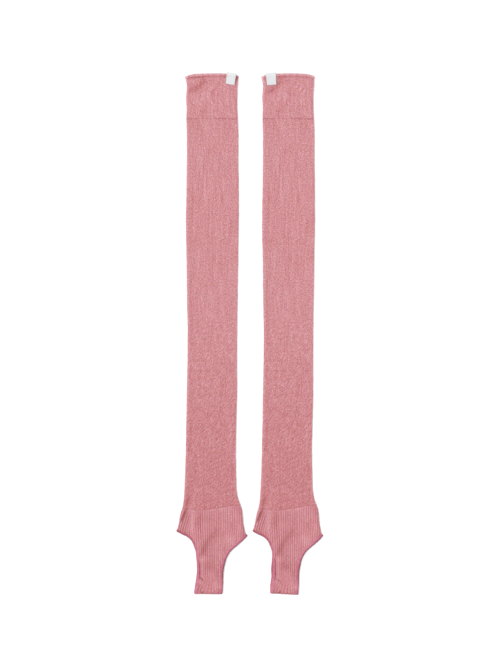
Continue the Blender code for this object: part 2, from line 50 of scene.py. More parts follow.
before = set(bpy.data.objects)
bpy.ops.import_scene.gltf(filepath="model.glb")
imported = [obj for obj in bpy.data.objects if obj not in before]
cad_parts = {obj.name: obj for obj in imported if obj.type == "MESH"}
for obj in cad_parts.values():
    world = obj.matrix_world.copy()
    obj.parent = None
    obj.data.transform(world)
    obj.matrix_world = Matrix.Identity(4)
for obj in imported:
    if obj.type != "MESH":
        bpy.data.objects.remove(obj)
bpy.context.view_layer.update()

# The cloth, as the frame has it.
WALL = 0.0015  # plain knit and rib
WELT_WALL = 0.0019  # doubled band
GAP = 0.0004  # between the front and back panels
FOLD_GAP = 0.0010  # inside the side folds
FOLD_REACH = 0.009
MOUTH_GAP = 0.0022
MOUTH_REACH = 0.030
WELT_DEPTH = 0.0716
WELT_THINS = 0.0080  # above the join, where it thins to the leg's thickness
STRAP_FOLD = 0.8321  # where the strap starts to turn under
OUTLINE_END = 0.8339
SIDE_TUCK = 0.00025  # the cloth keeps this far inside the side edges below
NOMINAL_WIDTH = 0.0820  # of the flat tube, for counting stitches across


def table(kind, *rows):
    """Rows of one kind, whose columns have names."""
    return tuple(kind(*row) for row in rows)


# Side edges of the flat tube.
Side = namedtuple("Side", "down left right")
SIDES = table(
    Side,
    (0.0000, -0.0414, 0.0413),
    (0.0080, -0.0423, 0.0420),
    (0.0180, -0.0403, 0.0416),
    (0.0400, -0.0413, 0.0408),
    (0.0560, -0.0404, 0.0409),
    (0.0720, -0.0410, 0.0417),
    (0.0912, -0.0403, 0.0426),
    (0.1392, -0.0403, 0.0426),
    (0.1872, -0.0408, 0.0432),
    (0.2432, -0.0417, 0.0431),
    (0.2992, -0.0406, 0.0423),
    (0.3632, -0.0400, 0.0413),
    (0.4112, -0.0389, 0.0407),
    (0.4592, -0.0392, 0.0404),
    (0.5072, -0.0401, 0.0405),
    (0.5552, -0.0410, 0.0395),
    (0.6112, -0.0421, 0.0386),
    (0.6512, -0.0435, 0.0394),
    (0.6672, -0.0442, 0.0400),
    (0.6816, -0.0451, 0.0428),
    (0.6912, -0.0464, 0.0464),
    (0.6992, -0.0485, 0.0484),
    (0.7104, -0.0510, 0.0498),
    (0.7248, -0.0540, 0.0512),
    (0.7340, -0.0560, 0.0530),
)

# The rim's own line: it droops towards the side folds.
Rim = namedtuple("Rim", "across droop")
RIM = table(
    Rim,
    (-0.0430, 0.0075),
    (-0.0390, 0.0042),
    (-0.0316, 0.0018),
    (-0.0180, 0.0006),
    (0.0040, 0.0000),
    (0.0240, 0.0006),
    (0.0360, 0.0024),
    (0.0420, 0.0050),
)

# The line where the leg joins the ribbed ankle.
Join = namedtuple("Join", "across down")
JOIN = table(
    Join,
    (-0.0500, 0.6968),
    (-0.0260, 0.6992),
    (-0.0110, 0.6990),
    (0.0060, 0.6966),
    (0.0250, 0.6931),
    (0.0480, 0.6909),
)

# Outer edges of the heel and toe openings, and how wide the overlocked edge lies there.
Edge = namedtuple("Edge", "across down width")
HEEL_EDGE = table(
    Edge,
    (-0.0572, 0.7324, 0.0047),
    (-0.0486, 0.7369, 0.0047),
    (-0.0388, 0.7418, 0.0044),
    (-0.0327, 0.7476, 0.0040),
    (-0.0283, 0.7566, 0.0036),
    (-0.0255, 0.7664, 0.0036),
    (-0.0247, 0.7760, 0.0040),
    (-0.0237, 0.7920, 0.0046),
    (-0.0243, 0.8040, 0.0050),
    (-0.0265, 0.8190, 0.0050),
    (-0.0284, OUTLINE_END, 0.0052),
)
TOE_EDGE = table(
    Edge,
    (0.0576, 0.7392, 0.0060),
    (0.0482, 0.7486, 0.0057),
    (0.0385, 0.7570, 0.0054),
    (0.0286, 0.7666, 0.0056),
    (0.0235, 0.7760, 0.0060),
    (0.0198, 0.7892, 0.0061),
    (0.0182, 0.8020, 0.0054),
    (0.0180, 0.8150, 0.0044),
    (0.0173, 0.8280, 0.0046),
    (0.0167, OUTLINE_END, 0.0072),
)
RIGHT_TOE_EDGE = tuple(place._replace(across=place.across - 0.0005) for place in TOE_EDGE)

# The tone of each edge along it: of the whole, and the painted light and shade of the side next
# to the cloth and of the outer side.
Tint = namedtuple("Tint", "down whole inner outer")
HEEL_TONES_AND_SHADES = table(
    Tint,
    (0.7328, 0.76, -0.16, -0.42),
    (0.7500, 0.83, -0.12, -0.26),
    (0.7660, 0.92, -0.06, -0.08),
    (0.7780, 0.91, -0.30, 0.00),
    (0.7900, 0.90, -0.42, 0.00),
    (0.8020, 0.90, -0.52, 0.00),
    (0.8090, 0.98, -0.26, 0.00),
    (0.8140, 0.97, -0.06, 0.00),
    (0.8240, 0.97, 0.00, -0.02),
    (OUTLINE_END, 0.94, -0.12, -0.06),
)
TOE_TONES_AND_SHADES = table(
    Tint,
    (0.7392, 0.86, 0.10, -0.46),
    (0.7500, 0.94, 0.08, -0.58),
    (0.7700, 0.96, 0.00, -0.62),
    (0.7880, 0.86, -0.14, -0.60),
    (0.8050, 0.84, -0.06, -0.56),
    (0.8200, 0.95, 0.00, -0.46),
    (0.8290, 0.90, 0.00, -0.36),
    (OUTLINE_END, 0.68, -0.05, -0.20),
)
# Painted shade on an edge's back layer, which lies under the front one.
BACK_LAYER_SHADE = 0.88

# How far each layer of the strap reaches out past the heel edge's line.
Reach = namedtuple("Reach", "down front back")
LEFT_STRAP = table(
    Reach,
    (0.7760, 0.0000, 0.0000),
    (0.7900, -0.0005, 0.0001),
    (0.8060, -0.0008, 0.0001),
    (0.8150, -0.0009, 0.0001),
    (OUTLINE_END, 0.0001, 0.0003),
)
RIGHT_STRAP = table(
    Reach,
    (0.7700, 0.0000, 0.0000),
    (0.7800, 0.0000, 0.0013),
    (0.7900, 0.0000, 0.0030),
    (0.7960, 0.0000, 0.0034),
    (0.8040, 0.0001, 0.0021),
    (0.8180, 0.0004, 0.0016),
    (0.8270, 0.0006, 0.0010),
    (OUTLINE_END, 0.0003, 0.0004),
)

# Creases of a panel: centre, half length, half width, turn from +Y, height and tone. A trough's
# height is below 0; a tone below 0 is painted shade and one above 0 painted light, and some rows
# paint the shadow beside a label.
Crease = namedtuple("Crease", "across down along width turn height tone")
LEFT_WELT_CREASES = table(
    Crease,
    (-0.0118, 0.0115, 0.0060, 0.0032, -0.90, -0.0001, -0.08),
    (-0.0297, 0.0243, 0.0114, 0.0042, 0.89, -0.0006, -0.12),
    (-0.0177, 0.0187, 0.0125, 0.0042, 0.69, -0.0006, -0.12),
    (-0.0121, 0.0259, 0.0061, 0.0024, 1.17, -0.0002, -0.05),
    (-0.0225, 0.0064, 0.0128, 0.0016, 1.51, -0.0003, -0.09),
    (-0.0321, 0.0123, 0.0051, 0.0029, 1.25, 0.0004, 0.05),
    (0.0003, 0.0239, 0.0052, 0.0018, 1.00, 0.0003, 0.09),
    (-0.0049, 0.0339, 0.0056, 0.0018, 0.00, 0.0003, 0.06),
    (-0.0017, 0.0443, 0.0058, 0.0018, -0.59, 0.0003, 0.05),
    (0.0039, 0.0267, 0.0051, 0.0016, 0.90, -0.0002, -0.07),
    (-0.0003, 0.0347, 0.0048, 0.0016, -0.03, -0.0003, -0.08),
    (0.0023, 0.0435, 0.0047, 0.0016, -0.54, -0.0002, -0.05),
    (0.0079, 0.0299, 0.0045, 0.0018, 0.79, 0.0002, 0.05),
    (0.0047, 0.0379, 0.0048, 0.0018, 0.00, 0.0002, 0.05),
    (-0.0273, 0.0471, 0.0048, 0.0014, -0.73, 0.0004, 0.11),
    (-0.0197, 0.0471, 0.0046, 0.0014, -0.91, 0.0004, 0.12),
    (-0.0201, 0.0547, 0.0041, 0.0014, -0.20, 0.0002, 0.05),
    (-0.0297, 0.0491, 0.0062, 0.0014, -0.69, -0.0003, -0.09),
    (-0.0217, 0.0523, 0.0033, 0.0013, -0.24, -0.0003, -0.09),
    (-0.0057, 0.0555, 0.0064, 0.0016, 0.00, 0.0002, 0.07),
    (0.0031, 0.0539, 0.0049, 0.0016, -0.17, 0.0002, 0.07),
    (0.0167, 0.0523, 0.0096, 0.0021, -0.08, 0.0002, 0.04),
    (0.0243, 0.0443, 0.0080, 0.0019, 0.05, 0.0002, 0.05),
    (0.0087, 0.0571, 0.0049, 0.0019, 0.17, -0.0004, -0.11),
    (0.0207, 0.0467, 0.0088, 0.0018, 0.00, -0.0002, -0.05),
    (-0.0113, 0.0619, 0.0066, 0.0021, -0.24, -0.0002, -0.04),
    (0.0279, 0.0651, 0.0058, 0.0032, -1.29, 0.0002, 0.05),
    (0.0343, 0.0331, 0.0099, 0.0022, -0.24, -0.0002, -0.04),
    # Painted shadows beside the label: two at its right side, one at its left.
    (0.0375, 0.0098, 0.0062, 0.0013, 0.15, -0.0004, -0.62),
    (0.0396, 0.0060, 0.0040, 0.0015, 0.30, -0.0002, -0.03),
    (0.0207, 0.0041, 0.0026, 0.0013, -0.06, 0.0000, -0.22),
)
RIGHT_WELT_CREASES = table(
    Crease,
    (-0.0284, 0.0283, 0.0087, 0.0042, 0.98, -0.0006, -0.10),
    (-0.0164, 0.0179, 0.0142, 0.0048, 0.75, -0.0006, -0.11),
    (-0.0116, 0.0070, 0.0080, 0.0022, 1.51, -0.0003, -0.07),
    (-0.0004, 0.0123, 0.0036, 0.0026, -1.11, -0.0002, -0.04),
    (0.0196, 0.0251, 0.0062, 0.0014, 0.69, 0.0003, 0.08),
    (0.0260, 0.0283, 0.0062, 0.0014, 0.69, 0.0003, 0.08),
    (0.0316, 0.0267, 0.0045, 0.0014, 0.79, 0.0002, 0.07),
    (0.0132, 0.0195, 0.0057, 0.0014, 0.79, 0.0002, 0.07),
    (0.0228, 0.0267, 0.0062, 0.0013, 0.69, -0.0003, -0.08),
    (0.0292, 0.0299, 0.0062, 0.0013, 0.69, -0.0002, -0.07),
    (0.0164, 0.0219, 0.0062, 0.0013, 0.69, -0.0002, -0.07),
    (-0.0048, 0.0427, 0.0064, 0.0016, 0.06, 0.0003, 0.09),
    (-0.0036, 0.0331, 0.0058, 0.0016, -0.59, 0.0002, 0.07),
    (-0.0016, 0.0459, 0.0064, 0.0016, 0.06, -0.0004, -0.11),
    (-0.0108, 0.0427, 0.0064, 0.0018, 0.12, -0.0002, -0.05),
    (-0.0200, 0.0483, 0.0042, 0.0016, -0.29, 0.0003, 0.08),
    (-0.0236, 0.0491, 0.0054, 0.0016, -0.46, -0.0003, -0.08),
    (0.0164, 0.0539, 0.0049, 0.0018, 0.17, -0.0002, -0.07),
    (0.0076, 0.0571, 0.0048, 0.0018, 0.00, -0.0002, -0.07),
    (0.0212, 0.0435, 0.0057, 0.0019, 0.14, 0.0002, 0.05),
    (0.0300, 0.0643, 0.0062, 0.0032, -0.88, 0.0002, 0.05),
    (-0.0140, 0.0587, 0.0033, 0.0016, 0.24, -0.0002, -0.07),
    (-0.0380, 0.0171, 0.0064, 0.0021, -0.12, 0.0003, 0.07),
)
LEG_CREASES = table(
    Crease,
    (-0.0305, 0.2363, 0.0496, 0.0021, 0.00, -0.0002, -0.036),
    (-0.0325, 0.3643, 0.0720, 0.0024, -0.01, -0.0003, -0.036),
    (-0.0333, 0.4803, 0.0456, 0.0021, 0.01, -0.0002, -0.022),
    (-0.0333, 0.5835, 0.0672, 0.0021, 0.01, -0.0002, -0.012),
    (-0.0378, 0.3587, 0.0680, 0.0019, 0.00, 0.0002, 0.022),
    (-0.0209, 0.0883, 0.0152, 0.0016, 0.00, -0.0002, -0.043),
    (-0.0154, 0.0779, 0.0048, 0.0019, -0.05, 0.0003, 0.058),
    (-0.0100, 0.2059, 0.0112, 0.0019, -0.02, 0.0002, 0.036),
    (-0.0111, 0.2675, 0.0280, 0.0018, -0.01, 0.0002, 0.036),
    (-0.0033, 0.2059, 0.0112, 0.0018, 0.00, -0.0002, -0.029),
    (-0.0070, 0.2643, 0.0376, 0.0014, 0.00, -0.0002, -0.036),
    (-0.0001, 0.1051, 0.0192, 0.0018, 0.00, -0.0001, -0.022),
    (0.0243, 0.0875, 0.0096, 0.0040, 0.04, -0.0001, -0.022),
    (0.0391, 0.1883, 0.0080, 0.0019, 0.00, -0.0002, -0.043),
    (-0.0025, 0.3803, 0.0197, 0.0096, -0.46, 0.0001, 0.007),
    (-0.0236, 0.4763, 0.0464, 0.0016, 0.03, 0.0003, 0.036),
    (-0.0144, 0.4779, 0.0384, 0.0016, 0.02, 0.0003, 0.036),
    (-0.0188, 0.4787, 0.0440, 0.0014, 0.02, -0.0002, -0.029),
    (-0.0101, 0.4763, 0.0336, 0.0016, 0.01, -0.0001, -0.022),
    (0.0207, 0.4883, 0.0225, 0.0038, 0.29, -0.0003, -0.029),
    (0.0167, 0.5083, 0.0155, 0.0042, 0.37, -0.0003, -0.022),
    (0.0175, 0.5691, 0.0336, 0.0035, -0.02, -0.0002, -0.022),
    (0.0303, 0.5747, 0.0520, 0.0024, 0.03, 0.0003, 0.029),
    (0.0339, 0.4075, 0.0224, 0.0021, 0.05, 0.0001, 0.022),
    (0.0135, 0.6507, 0.0193, 0.0035, -0.12, -0.0003, -0.029),
    (-0.0201, 0.6667, 0.0085, 0.0040, -0.72, 0.0002, 0.029),
    (0.0215, 0.6823, 0.0153, 0.0021, -1.44, -0.0002, -0.036),
    (0.0343, 0.6819, 0.0061, 0.0032, -0.40, -0.0003, -0.036),
    (-0.0379, 0.6835, 0.0108, 0.0026, 0.28, -0.0006, -0.16),
    (-0.0273, 0.6803, 0.0170, 0.0027, 0.14, 0.0005, 0.050),
)
ANKLE_CREASES = table(
    Crease,
    (-0.0450, 0.7075, 0.0108, 0.0014, 0.38, -0.0010, -0.52),
    (-0.0536, 0.7203, 0.0043, 0.0013, 0.40, -0.0006, -0.15),
    (-0.0411, 0.7067, 0.0067, 0.0011, 0.29, -0.0003, -0.16),
    (-0.0321, 0.7147, 0.0180, 0.0032, 0.01, 0.0008, 0.19),
    (-0.0305, 0.7435, 0.0113, 0.0024, -0.14, 0.0002, 0.06),
    (-0.0189, 0.7147, 0.0130, 0.0045, 0.15, -0.0004, -0.11),
    (-0.0049, 0.7099, 0.0113, 0.0048, 0.79, -0.0003, -0.06),
    (-0.0121, 0.7603, 0.0132, 0.0042, 0.44, -0.0009, -0.165),
    (0.0031, 0.7379, 0.0142, 0.0051, 0.75, -0.0008, -0.12),
    (-0.0201, 0.7515, 0.0098, 0.0032, 0.61, 0.0003, 0.05),
    (-0.0113, 0.7771, 0.0066, 0.0042, 1.33, 0.0008, 0.15),
    (0.0287, 0.7467, 0.0136, 0.0072, 0.79, 0.0004, 0.09),
    (0.0415, 0.7160, 0.0200, 0.0050, -0.12, 0.0003, 0.06),
    (-0.0049, 0.7899, 0.0051, 0.0048, -1.25, -0.0003, -0.06),
    (-0.0017, 0.8011, 0.0058, 0.0048, -0.98, 0.0003, 0.09),
    (0.0103, 0.8067, 0.0104, 0.0022, -0.08, -0.0004, -0.11),
    (0.0078, 0.8195, 0.0070, 0.0042, -0.40, 0.0004, 0.12),
)
LEFT_STRAP_CREASES = table(
    Crease,
    (0.0140, 0.8318, 0.0050, 0.0026, 0.00, -0.0002, -0.42),
    (-0.0155, 0.8325, 0.0035, 0.0016, 0.00, -0.0001, -0.16),
    (-0.0206, 0.7947, 0.0112, 0.0019, 0.02, -0.0009, -0.62),
    (-0.0172, 0.8084, 0.0060, 0.0014, -0.78, -0.0005, -0.34),
    (-0.0208, 0.8227, 0.0059, 0.0011, 0.33, -0.0002, -0.26),
    (-0.0169, 0.8227, 0.0058, 0.0010, 0.28, -0.0002, -0.14),
    (-0.0153, 0.8308, 0.0056, 0.0013, -1.50, -0.0002, -0.12),
    (0.0125, 0.8322, 0.0028, 0.0014, 1.57, -0.0002, -0.35),
)
RIGHT_STRAP_CREASES = table(
    Crease,
    (0.0145, 0.8318, 0.0040, 0.0026, 0.00, -0.0002, -0.42),
    (-0.0126, 0.8318, 0.0040, 0.0018, 0.00, -0.0002, -0.26),
    (-0.0210, 0.7931, 0.0144, 0.0014, -0.01, -0.0009, -0.46),
    (-0.0156, 0.8112, 0.0048, 0.0012, -0.97, -0.0004, -0.26),
    (-0.0216, 0.8235, 0.0067, 0.0010, 0.30, -0.0002, -0.18),
    (-0.0172, 0.8235, 0.0066, 0.0010, 0.24, -0.0002, -0.12),
    (-0.0164, 0.8316, 0.0048, 0.0013, -1.45, -0.0002, -0.16),
    (0.0116, 0.7947, 0.0096, 0.0016, -0.08, -0.0002, -0.06),
)
BACK_CREASES = table(
    Crease,
    (0.0100, 0.0450, 0.0200, 0.0060, 0.40, 0.0005, -0.06),
    (-0.0180, 0.1500, 0.0600, 0.0050, 0.02, 0.0004, -0.04),
    (0.0120, 0.2800, 0.0700, 0.0060, -0.03, 0.0004, -0.04),
    (-0.0060, 0.4200, 0.0600, 0.0050, 0.04, 0.0004, -0.04),
    (0.0160, 0.5600, 0.0400, 0.0050, 0.50, 0.0004, -0.05),
    (-0.0100, 0.6400, 0.0300, 0.0050, 0.60, 0.0004, -0.05),
    (0.0050, 0.7500, 0.0200, 0.0050, 0.45, 0.0005, -0.06),
)

# Where the ribs lie low or stand clear, laid out like creases: how much of the ribs is lost.
Fade = namedtuple("Fade", "across down along width turn lost")
RIB_FADES = table(
    Fade,
    (-0.0318, 0.7251, 0.0312, 0.0032, -0.02, 0.85),
    (-0.0258, 0.7040, 0.0080, 0.0040, 0.00, 0.45),
    (-0.0440, 0.7200, 0.0170, 0.0080, 0.30, -0.90),
    (-0.0177, 0.7300, 0.0150, 0.0050, 0.00, -0.45),
    (-0.0075, 0.7600, 0.0200, 0.0060, 0.00, -0.55),
    (-0.0168, 0.7890, 0.0155, 0.0048, 0.00, 0.80),
    (0.0015, 0.7750, 0.0170, 0.0050, 0.00, -0.60),
    (0.0050, 0.7860, 0.0100, 0.0050, 0.00, -0.25),
    (0.0107, 0.7640, 0.0130, 0.0045, -0.10, 0.30),
    (0.0300, 0.7270, 0.0080, 0.0080, 0.00, 0.28),
    (0.0010, 0.8085, 0.0200, 0.0060, 1.50, 0.65),
    (0.0010, 0.8230, 0.0200, 0.0070, 1.57, 0.25),
    (0.0125, 0.8130, 0.0200, 0.0075, 1.57, 0.55),
)
RIGHT_RIB_FADES = table(
    Fade,
    (-0.0084, 0.7790, 0.0130, 0.0036, 0.00, -0.55),
    (0.0012, 0.7690, 0.0150, 0.0036, 0.00, 0.65),
)

# The pitch of the ribs down the ankle.
RibPitch = namedtuple("RibPitch", "down pitch")
RIB_PITCHES = table(
    RibPitch,
    (0.6900, 0.00362),
    (0.7280, 0.00364),
    (0.7420, 0.00354),
    (0.7560, 0.00347),
    (OUTLINE_END, 0.00347),
)
RIB_PITCH = RIB_PITCHES[0].pitch  # for counting stitches across the ribs
RIB_CREST = 0.0057  # across, where the crest of one rib lies all the way down

# The shade of the leg and of the ankle down the tube.
Shade = namedtuple("Shade", "down tone")
LEG_SHADES = table(
    Shade,
    (0.0700, 0.984),
    (0.1400, 0.996),
    (0.2100, 0.986),
    (0.2600, 0.978),
    (0.3200, 0.992),
    (0.3800, 0.986),
    (0.4400, 0.976),
    (0.5000, 0.953),
    (0.6000, 0.919),
    (0.6900, 0.898),
)
ANKLE_SHADES = table(
    Shade,
    (0.6900, 1.000),
    (0.7700, 1.000),
    (0.7900, 0.985),
    (0.8100, 0.975),
    (0.8240, 0.960),
    (0.8285, 0.950),
    (0.8320, 0.860),
    (0.8345, 0.780),
)

# How much light the cloth catches close to each side fold.
Glow = namedtuple("Glow", "down left right")
SIDE_GLOW = table(
    Glow,
    (0.0000, 0.015, -0.045),
    (0.0640, 0.015, -0.040),
    (0.0800, 0.040, -0.005),
    (0.1800, 0.040, 0.000),
    (0.3000, 0.028, 0.026),
    (0.4500, 0.028, 0.014),
    (0.5800, 0.075, 0.036),
    (0.6850, 0.075, 0.040),
    (0.7050, 0.045, -0.050),
    (0.7350, 0.045, -0.060),
)
GLOW_AT, GLOW_SPREAD = 0.0014, 0.0021  # inside the fold

# How dark the link between the band and the leg is, across it.
Link = namedtuple("Link", "across dark")
BAND_LINK = table(
    Link,
    (-0.0420, 0.12),
    (-0.0330, 0.10),
    (-0.0240, 0.04),
    (-0.0160, -0.04),
    (-0.0095, 0.14),
    (-0.0050, 0.02),
    (0.0050, 0.03),
    (0.0110, 0.09),
    (0.0250, 0.09),
    (0.0420, 0.13),
)

# Each label's centre, size and turn, and each leg warmer's strap, with how far its end reaches
# down at its two sides.
Label = namedtuple("Label", "across down width length turn")
LegWarmer = namedtuple("LegWarmer", "name label strap toe end creases fades seed")
PAIR = (
    LegWarmer(
        "left",
        Label(0.0306, 0.0082, 0.0148, 0.0188, -0.150),
        LEFT_STRAP,
        TOE_EDGE,
        (-0.0010, -0.0002),
        LEFT_WELT_CREASES + LEG_CREASES + ANKLE_CREASES + LEFT_STRAP_CREASES,
        RIB_FADES,
        3,
    ),
    LegWarmer(
        "right",
        Label(-0.0268, 0.0086, 0.0158, 0.0194, 0.075),
        RIGHT_STRAP,
        RIGHT_TOE_EDGE,
        (-0.0016, 0.0007),
        RIGHT_WELT_CREASES + LEG_CREASES + ANKLE_CREASES + RIGHT_STRAP_CREASES,
        RIB_FADES + RIGHT_RIB_FADES,
        8,
    ),
)

# Small unevenness of the cloth: its size, and the shortest and longest of its waves.
RIPPLE_WAVES = 18  # in one ripple
CLOTH_WAVE, CLOTH_WAVES = 0.00009, (0.010, 0.045)
SIDE_WOBBLE, SIDE_WOBBLES = 0.00014, (0.006, 0.030)
LINK_STRAY, LINK_STRAYS = 0.0005, (0.004, 0.016)
LINK_BREAK, LINK_BREAKS = 0.7, (0.0018, 0.0060)
JOIN_UNEVEN, JOIN_WAVES = 0.4, (0.003, 0.012)
RIBS_UNEVEN, RIB_WAVES = 0.16, (0.006, 0.022)
THREAD_STRAY, THREAD_STRAYS = 0.12, (0.004, 0.020)
EDGE_UNEVEN, EDGE_WAVES = 0.07, (0.004, 0.030)
STRAY_SEED, BREAK_SEED, RIB_SEED = 5, 12, 21

# Light and dark lines along the cloth: how much they add to its tone, where and how widely.
Stripe = namedtuple("Stripe", "tone at spread")
RIM_LIGHT = Stripe(0.13, 0.36, 0.32)  # below the rim, in its own heights
GROOVE_LINE = Stripe(-1.00, 0.90, 0.22)  # the same, in shares of the groove's shade
GROOVE_MIDDLE = Stripe(0.08, -0.0080, 0.0160)  # across, more shade in the groove
JOIN_LINE = Stripe(-0.08, -0.0006, 0.0011)  # down from the join, on the leg
FIRST_ROW = Stripe(0.07, 0.0014, 0.0009)  # down from the join, on the ankle
ANKLE_LINK = Stripe(-0.04, -0.0002, 0.0008)  # the same
SELVEDGE = Stripe(-0.05, 0.0000, 0.0012)  # beside the edges of a label

# How a ring of the tube is shared out: front panel, right fold, back panel, left fold.
PANEL_SHARE = 0.44
FOLD_SHARE = 0.06

# Links between pieces.
LAP = 0.0002  # two linked pieces overlap by this
SEAM_SPREAD = 0.0009  # half the width of the dip beside a link
LINK_BELOW, LINK_SPREAD = 0.0007, 0.0012  # the dark line under the band

# The band and the leg.
BAND_GRID, LEG_GRID = (150, 130), (100, 210)
BAND_BEND, BAND_INSIDE = 0.10, 0.30  # shares of the band's rows over the rim and down inside it
BAND_LAYER = WELT_WALL * 0.9  # from its outer layer to its inner one
ROLL = 0.42  # the middle of the rim's roll, and half its height, in heights of the rim
GROOVE_AT, GROOVE_SPREAD = 0.98, 0.20  # below the rim, in the same
GROOVE_DARK = 0.06  # the groove's shade all along
GROOVE_RIGHT, GROOVE_RIGHT_AT = 0.05, 0.030  # more of it to the right, and where all of that is

# The overlocked edges.
EDGE_INSET = 0.6  # the cloth starts this far in from an opening, in widths of its edge
EDGE_CLEAR = 0.00012  # under an edge
EDGE_OVER = 0.0004  # an edge stands this far over the panels
EDGE_PLACES, OUTLINE_PLACES = 360, 120  # along an edge on one layer, and along an opening
PAST_ENDS = 0.02  # an opening's line goes on straight past both its ends
BEND_STEPS = 14
EDGE_COLUMNS, ROWS_A_STITCH = 18, 5
THREAD_SLANT = 0.9  # of the overlock threads, in stitches

# The ribs and the ankle.
RIB_SHADE, RIB_LIGHT = 0.825, 1.08
RIB_MIDDLE = 0.35  # the height of a rib that lies level with the cloth
RIBS_BELOW, RIBS_GROW = 0.0008, 0.0020  # under the join, where they start and how soon they are full
RIBS_CLEAREST = 1.8  # the most that their height is raised
WALES_A_RIB = 3
ANKLE_RADIUS = WALL + FOLD_GAP / 2
ANKLE_ROWS, COLUMNS_A_RIB, FOLD_COLUMNS = 230, 8, 10
FOLD_RIBS = 2  # round each side fold
STRAP_TURN = 0.04  # share of the ankle's rows that turn under the foot
ANKLE_PANEL = (1 - STRAP_TURN) / 2
TURN_LENGTH = 0.006  # of the cloth in that turn
JOIN_SIDES = (-0.049, 0.048)  # across, where the join meets the side folds
CORNER_GAP = 0.0005  # from the end of a side fold to the corner of its opening
END_SHADE = 0.34  # of the strap's turned end
END_FROM = 0.8000  # down the strap, its end starts to slope
END_SIDES = (-0.0270, 0.0150)  # the end's two sides, where the slope is given
LEAN_FROM = 0.8060  # down the strap, its ribs lean towards the heel side
LEAN_MOST = 0.0095
LEAN_INNER, LEAN_OUTER = 0.0060, -0.0240  # across, where that starts and is full
FAN_RIBS = 5  # columns of cloth beside each side fold that lean with it, in ribs
FAN_FROM, FAN_FULL = -0.0305, -0.0355  # across, where ribs beside the heel start to lean out, and do
FAN_END = 0.7320
FAN_LEAN = 0.33

# The labels.
LABEL_GRID = (24, 90)
LABEL_RIM = (0.001, 0.007)  # below its top, where the rim is
LABEL_CORNER, LABEL_CURL = 0.0005, 0.0011  # how far its lower corners and its right side lift
# The label's upper part gets painted light: how much, and from what share of the front leaf.
LABEL_LIGHT, LABEL_LIT = 0.04, 0.55  # its upper part is lighter, from this share of the front leaf
LABEL_LEAF, LABEL_BEND = 0.62, 0.22  # shares of its length on the front and over the rim
LABEL_TAPER = 0.04
LABEL_TUCK = 0.0055
LABEL_CLEAR = 0.0003
LABEL_SQUASH = 0.8  # how round its bend is
LABEL_LIFT = 0.005  # how far below the rim it starts to lift off the band

# The yarns.
SLANT = math.radians(-40)  # of the streaks near the ankle
SLANTS_DOWN = (0.32, 0.46)  # where they start and are full
STREAKS_LEFT = 0.45  # share of the straight streaks that is left there
DEEPENING = 2.3  # how much faster green and blue fall than red as a yarn darkens
RIB_SHADING, EDGE_SHADING = 1.7, 1.65  # and as the shade on the rib and the overlock does
WANDER = 0.012  # how far the wavy lines of the knit stray
STITCH_BUMP = 0.00035

VISIBLE_WALL = 0.0009  # thickness of the cloth itself
CLOSE = 0.00002  # points nearer than this are one

# The stage.
FLOOR_DROP = 0.0001
FLOOR_SIZE = 8.0
FRAMED = 1.0672  # height of the view
FRAME_SHIFT = (-0.0003, 0.0005)  # from the pair's middle to the view's
FRAMED_LEVEL = 0.004  # over the floor, where the view is that high
SKY_COLOUR = (0.970, 0.985, 1.000)
SUN_COLOUR = (1.000, 0.970, 0.940)


# --- Settings -------------------------------------------------------------------------------------


def length(name, description, default):
    """A length in metres that a user can change."""
    return FloatProperty(name=name, description=description, default=default, unit="LENGTH", precision=5)


def angle(name, description, degrees):
    """An angle that a user can change."""
    default = math.radians(degrees)
    return FloatProperty(name=name, description=description, default=default, subtype="ANGLE")


def colour(name, description, default):
    """A colour that a user can change."""
    return FloatVectorProperty(
        name=name, description=description, default=default, subtype="COLOR", min=0, max=1
    )


class KnitSettings(bpy.types.PropertyGroup):
    """Sizes of the knitting."""

    wale: length("Wale", "Width of one column of stitches", 0.00105)
    course: length("Course", "Height of one row of stitches", 0.00085)
    ribs: IntProperty(name="Ribs", description="Ribs across one panel of the ankle", default=26, min=4)
    rib_height: length("Rib height", "How far the ribs stand up", 0.0007)
    rim_height: length("Rim", "Height of the rolled rim", 0.0052)
    rim_lift: length("Rim lift", "How far the rolled rim stands out", 0.0009)
    groove: length("Groove", "Depth of the groove under the rim", 0.00045)
    seam_depth: length("Seam depth", "Depth of the line where two pieces are linked", 0.0004)
    edge_thickness: length("Edge thickness", "Thickness of the overlocked edge", 0.0019)
    edge_pitch: length("Edge stitch", "Spacing of the overlock stitches", 0.0012)
    edge_ridge: length("Edge ridge", "How far the overlock threads stand up", 0.00022)
    tape_thickness: length("Tape", "Thickness of the label's tape", 0.0004)


class ColourSettings(bpy.types.PropertyGroup):
    """Colours of the yarns and of the stage."""

    welt: colour("Band", "Yarn of the band", (0.616, 0.277, 0.298))
    leg: colour("Leg", "Yarn of the leg", (0.610, 0.276, 0.296))
    ankle: colour("Ankle", "Yarn of the ribbed ankle", (0.590, 0.252, 0.277))
    edge: colour("Edge", "Overlock yarn", (0.516, 0.178, 0.246))
    label: colour("Label", "Tape of the label", (0.652, 0.656, 0.664))
    floor: colour("Floor", "The surface that the pair lies on", (0.930, 0.930, 0.930))


class StageSettings(bpy.types.PropertyGroup):
    """Camera and light."""

    camera_height: length("Camera height", "Height of the camera over the floor", 4.0)
    sky: FloatProperty(name="Sky", description="Strength of the light from all round", default=1.10)
    sun: FloatProperty(name="Sun", description="Strength of the main light", default=1.2)
    sun_azimuth: angle("Sun azimuth", "Where the main light comes from", 150)
    sun_elevation: angle("Sun elevation", "Height of the main light", 57)
    sun_width: angle("Sun width", "Softness of the main light", 14)


# --- Smooth curves through the tables -------------------------------------------------------------


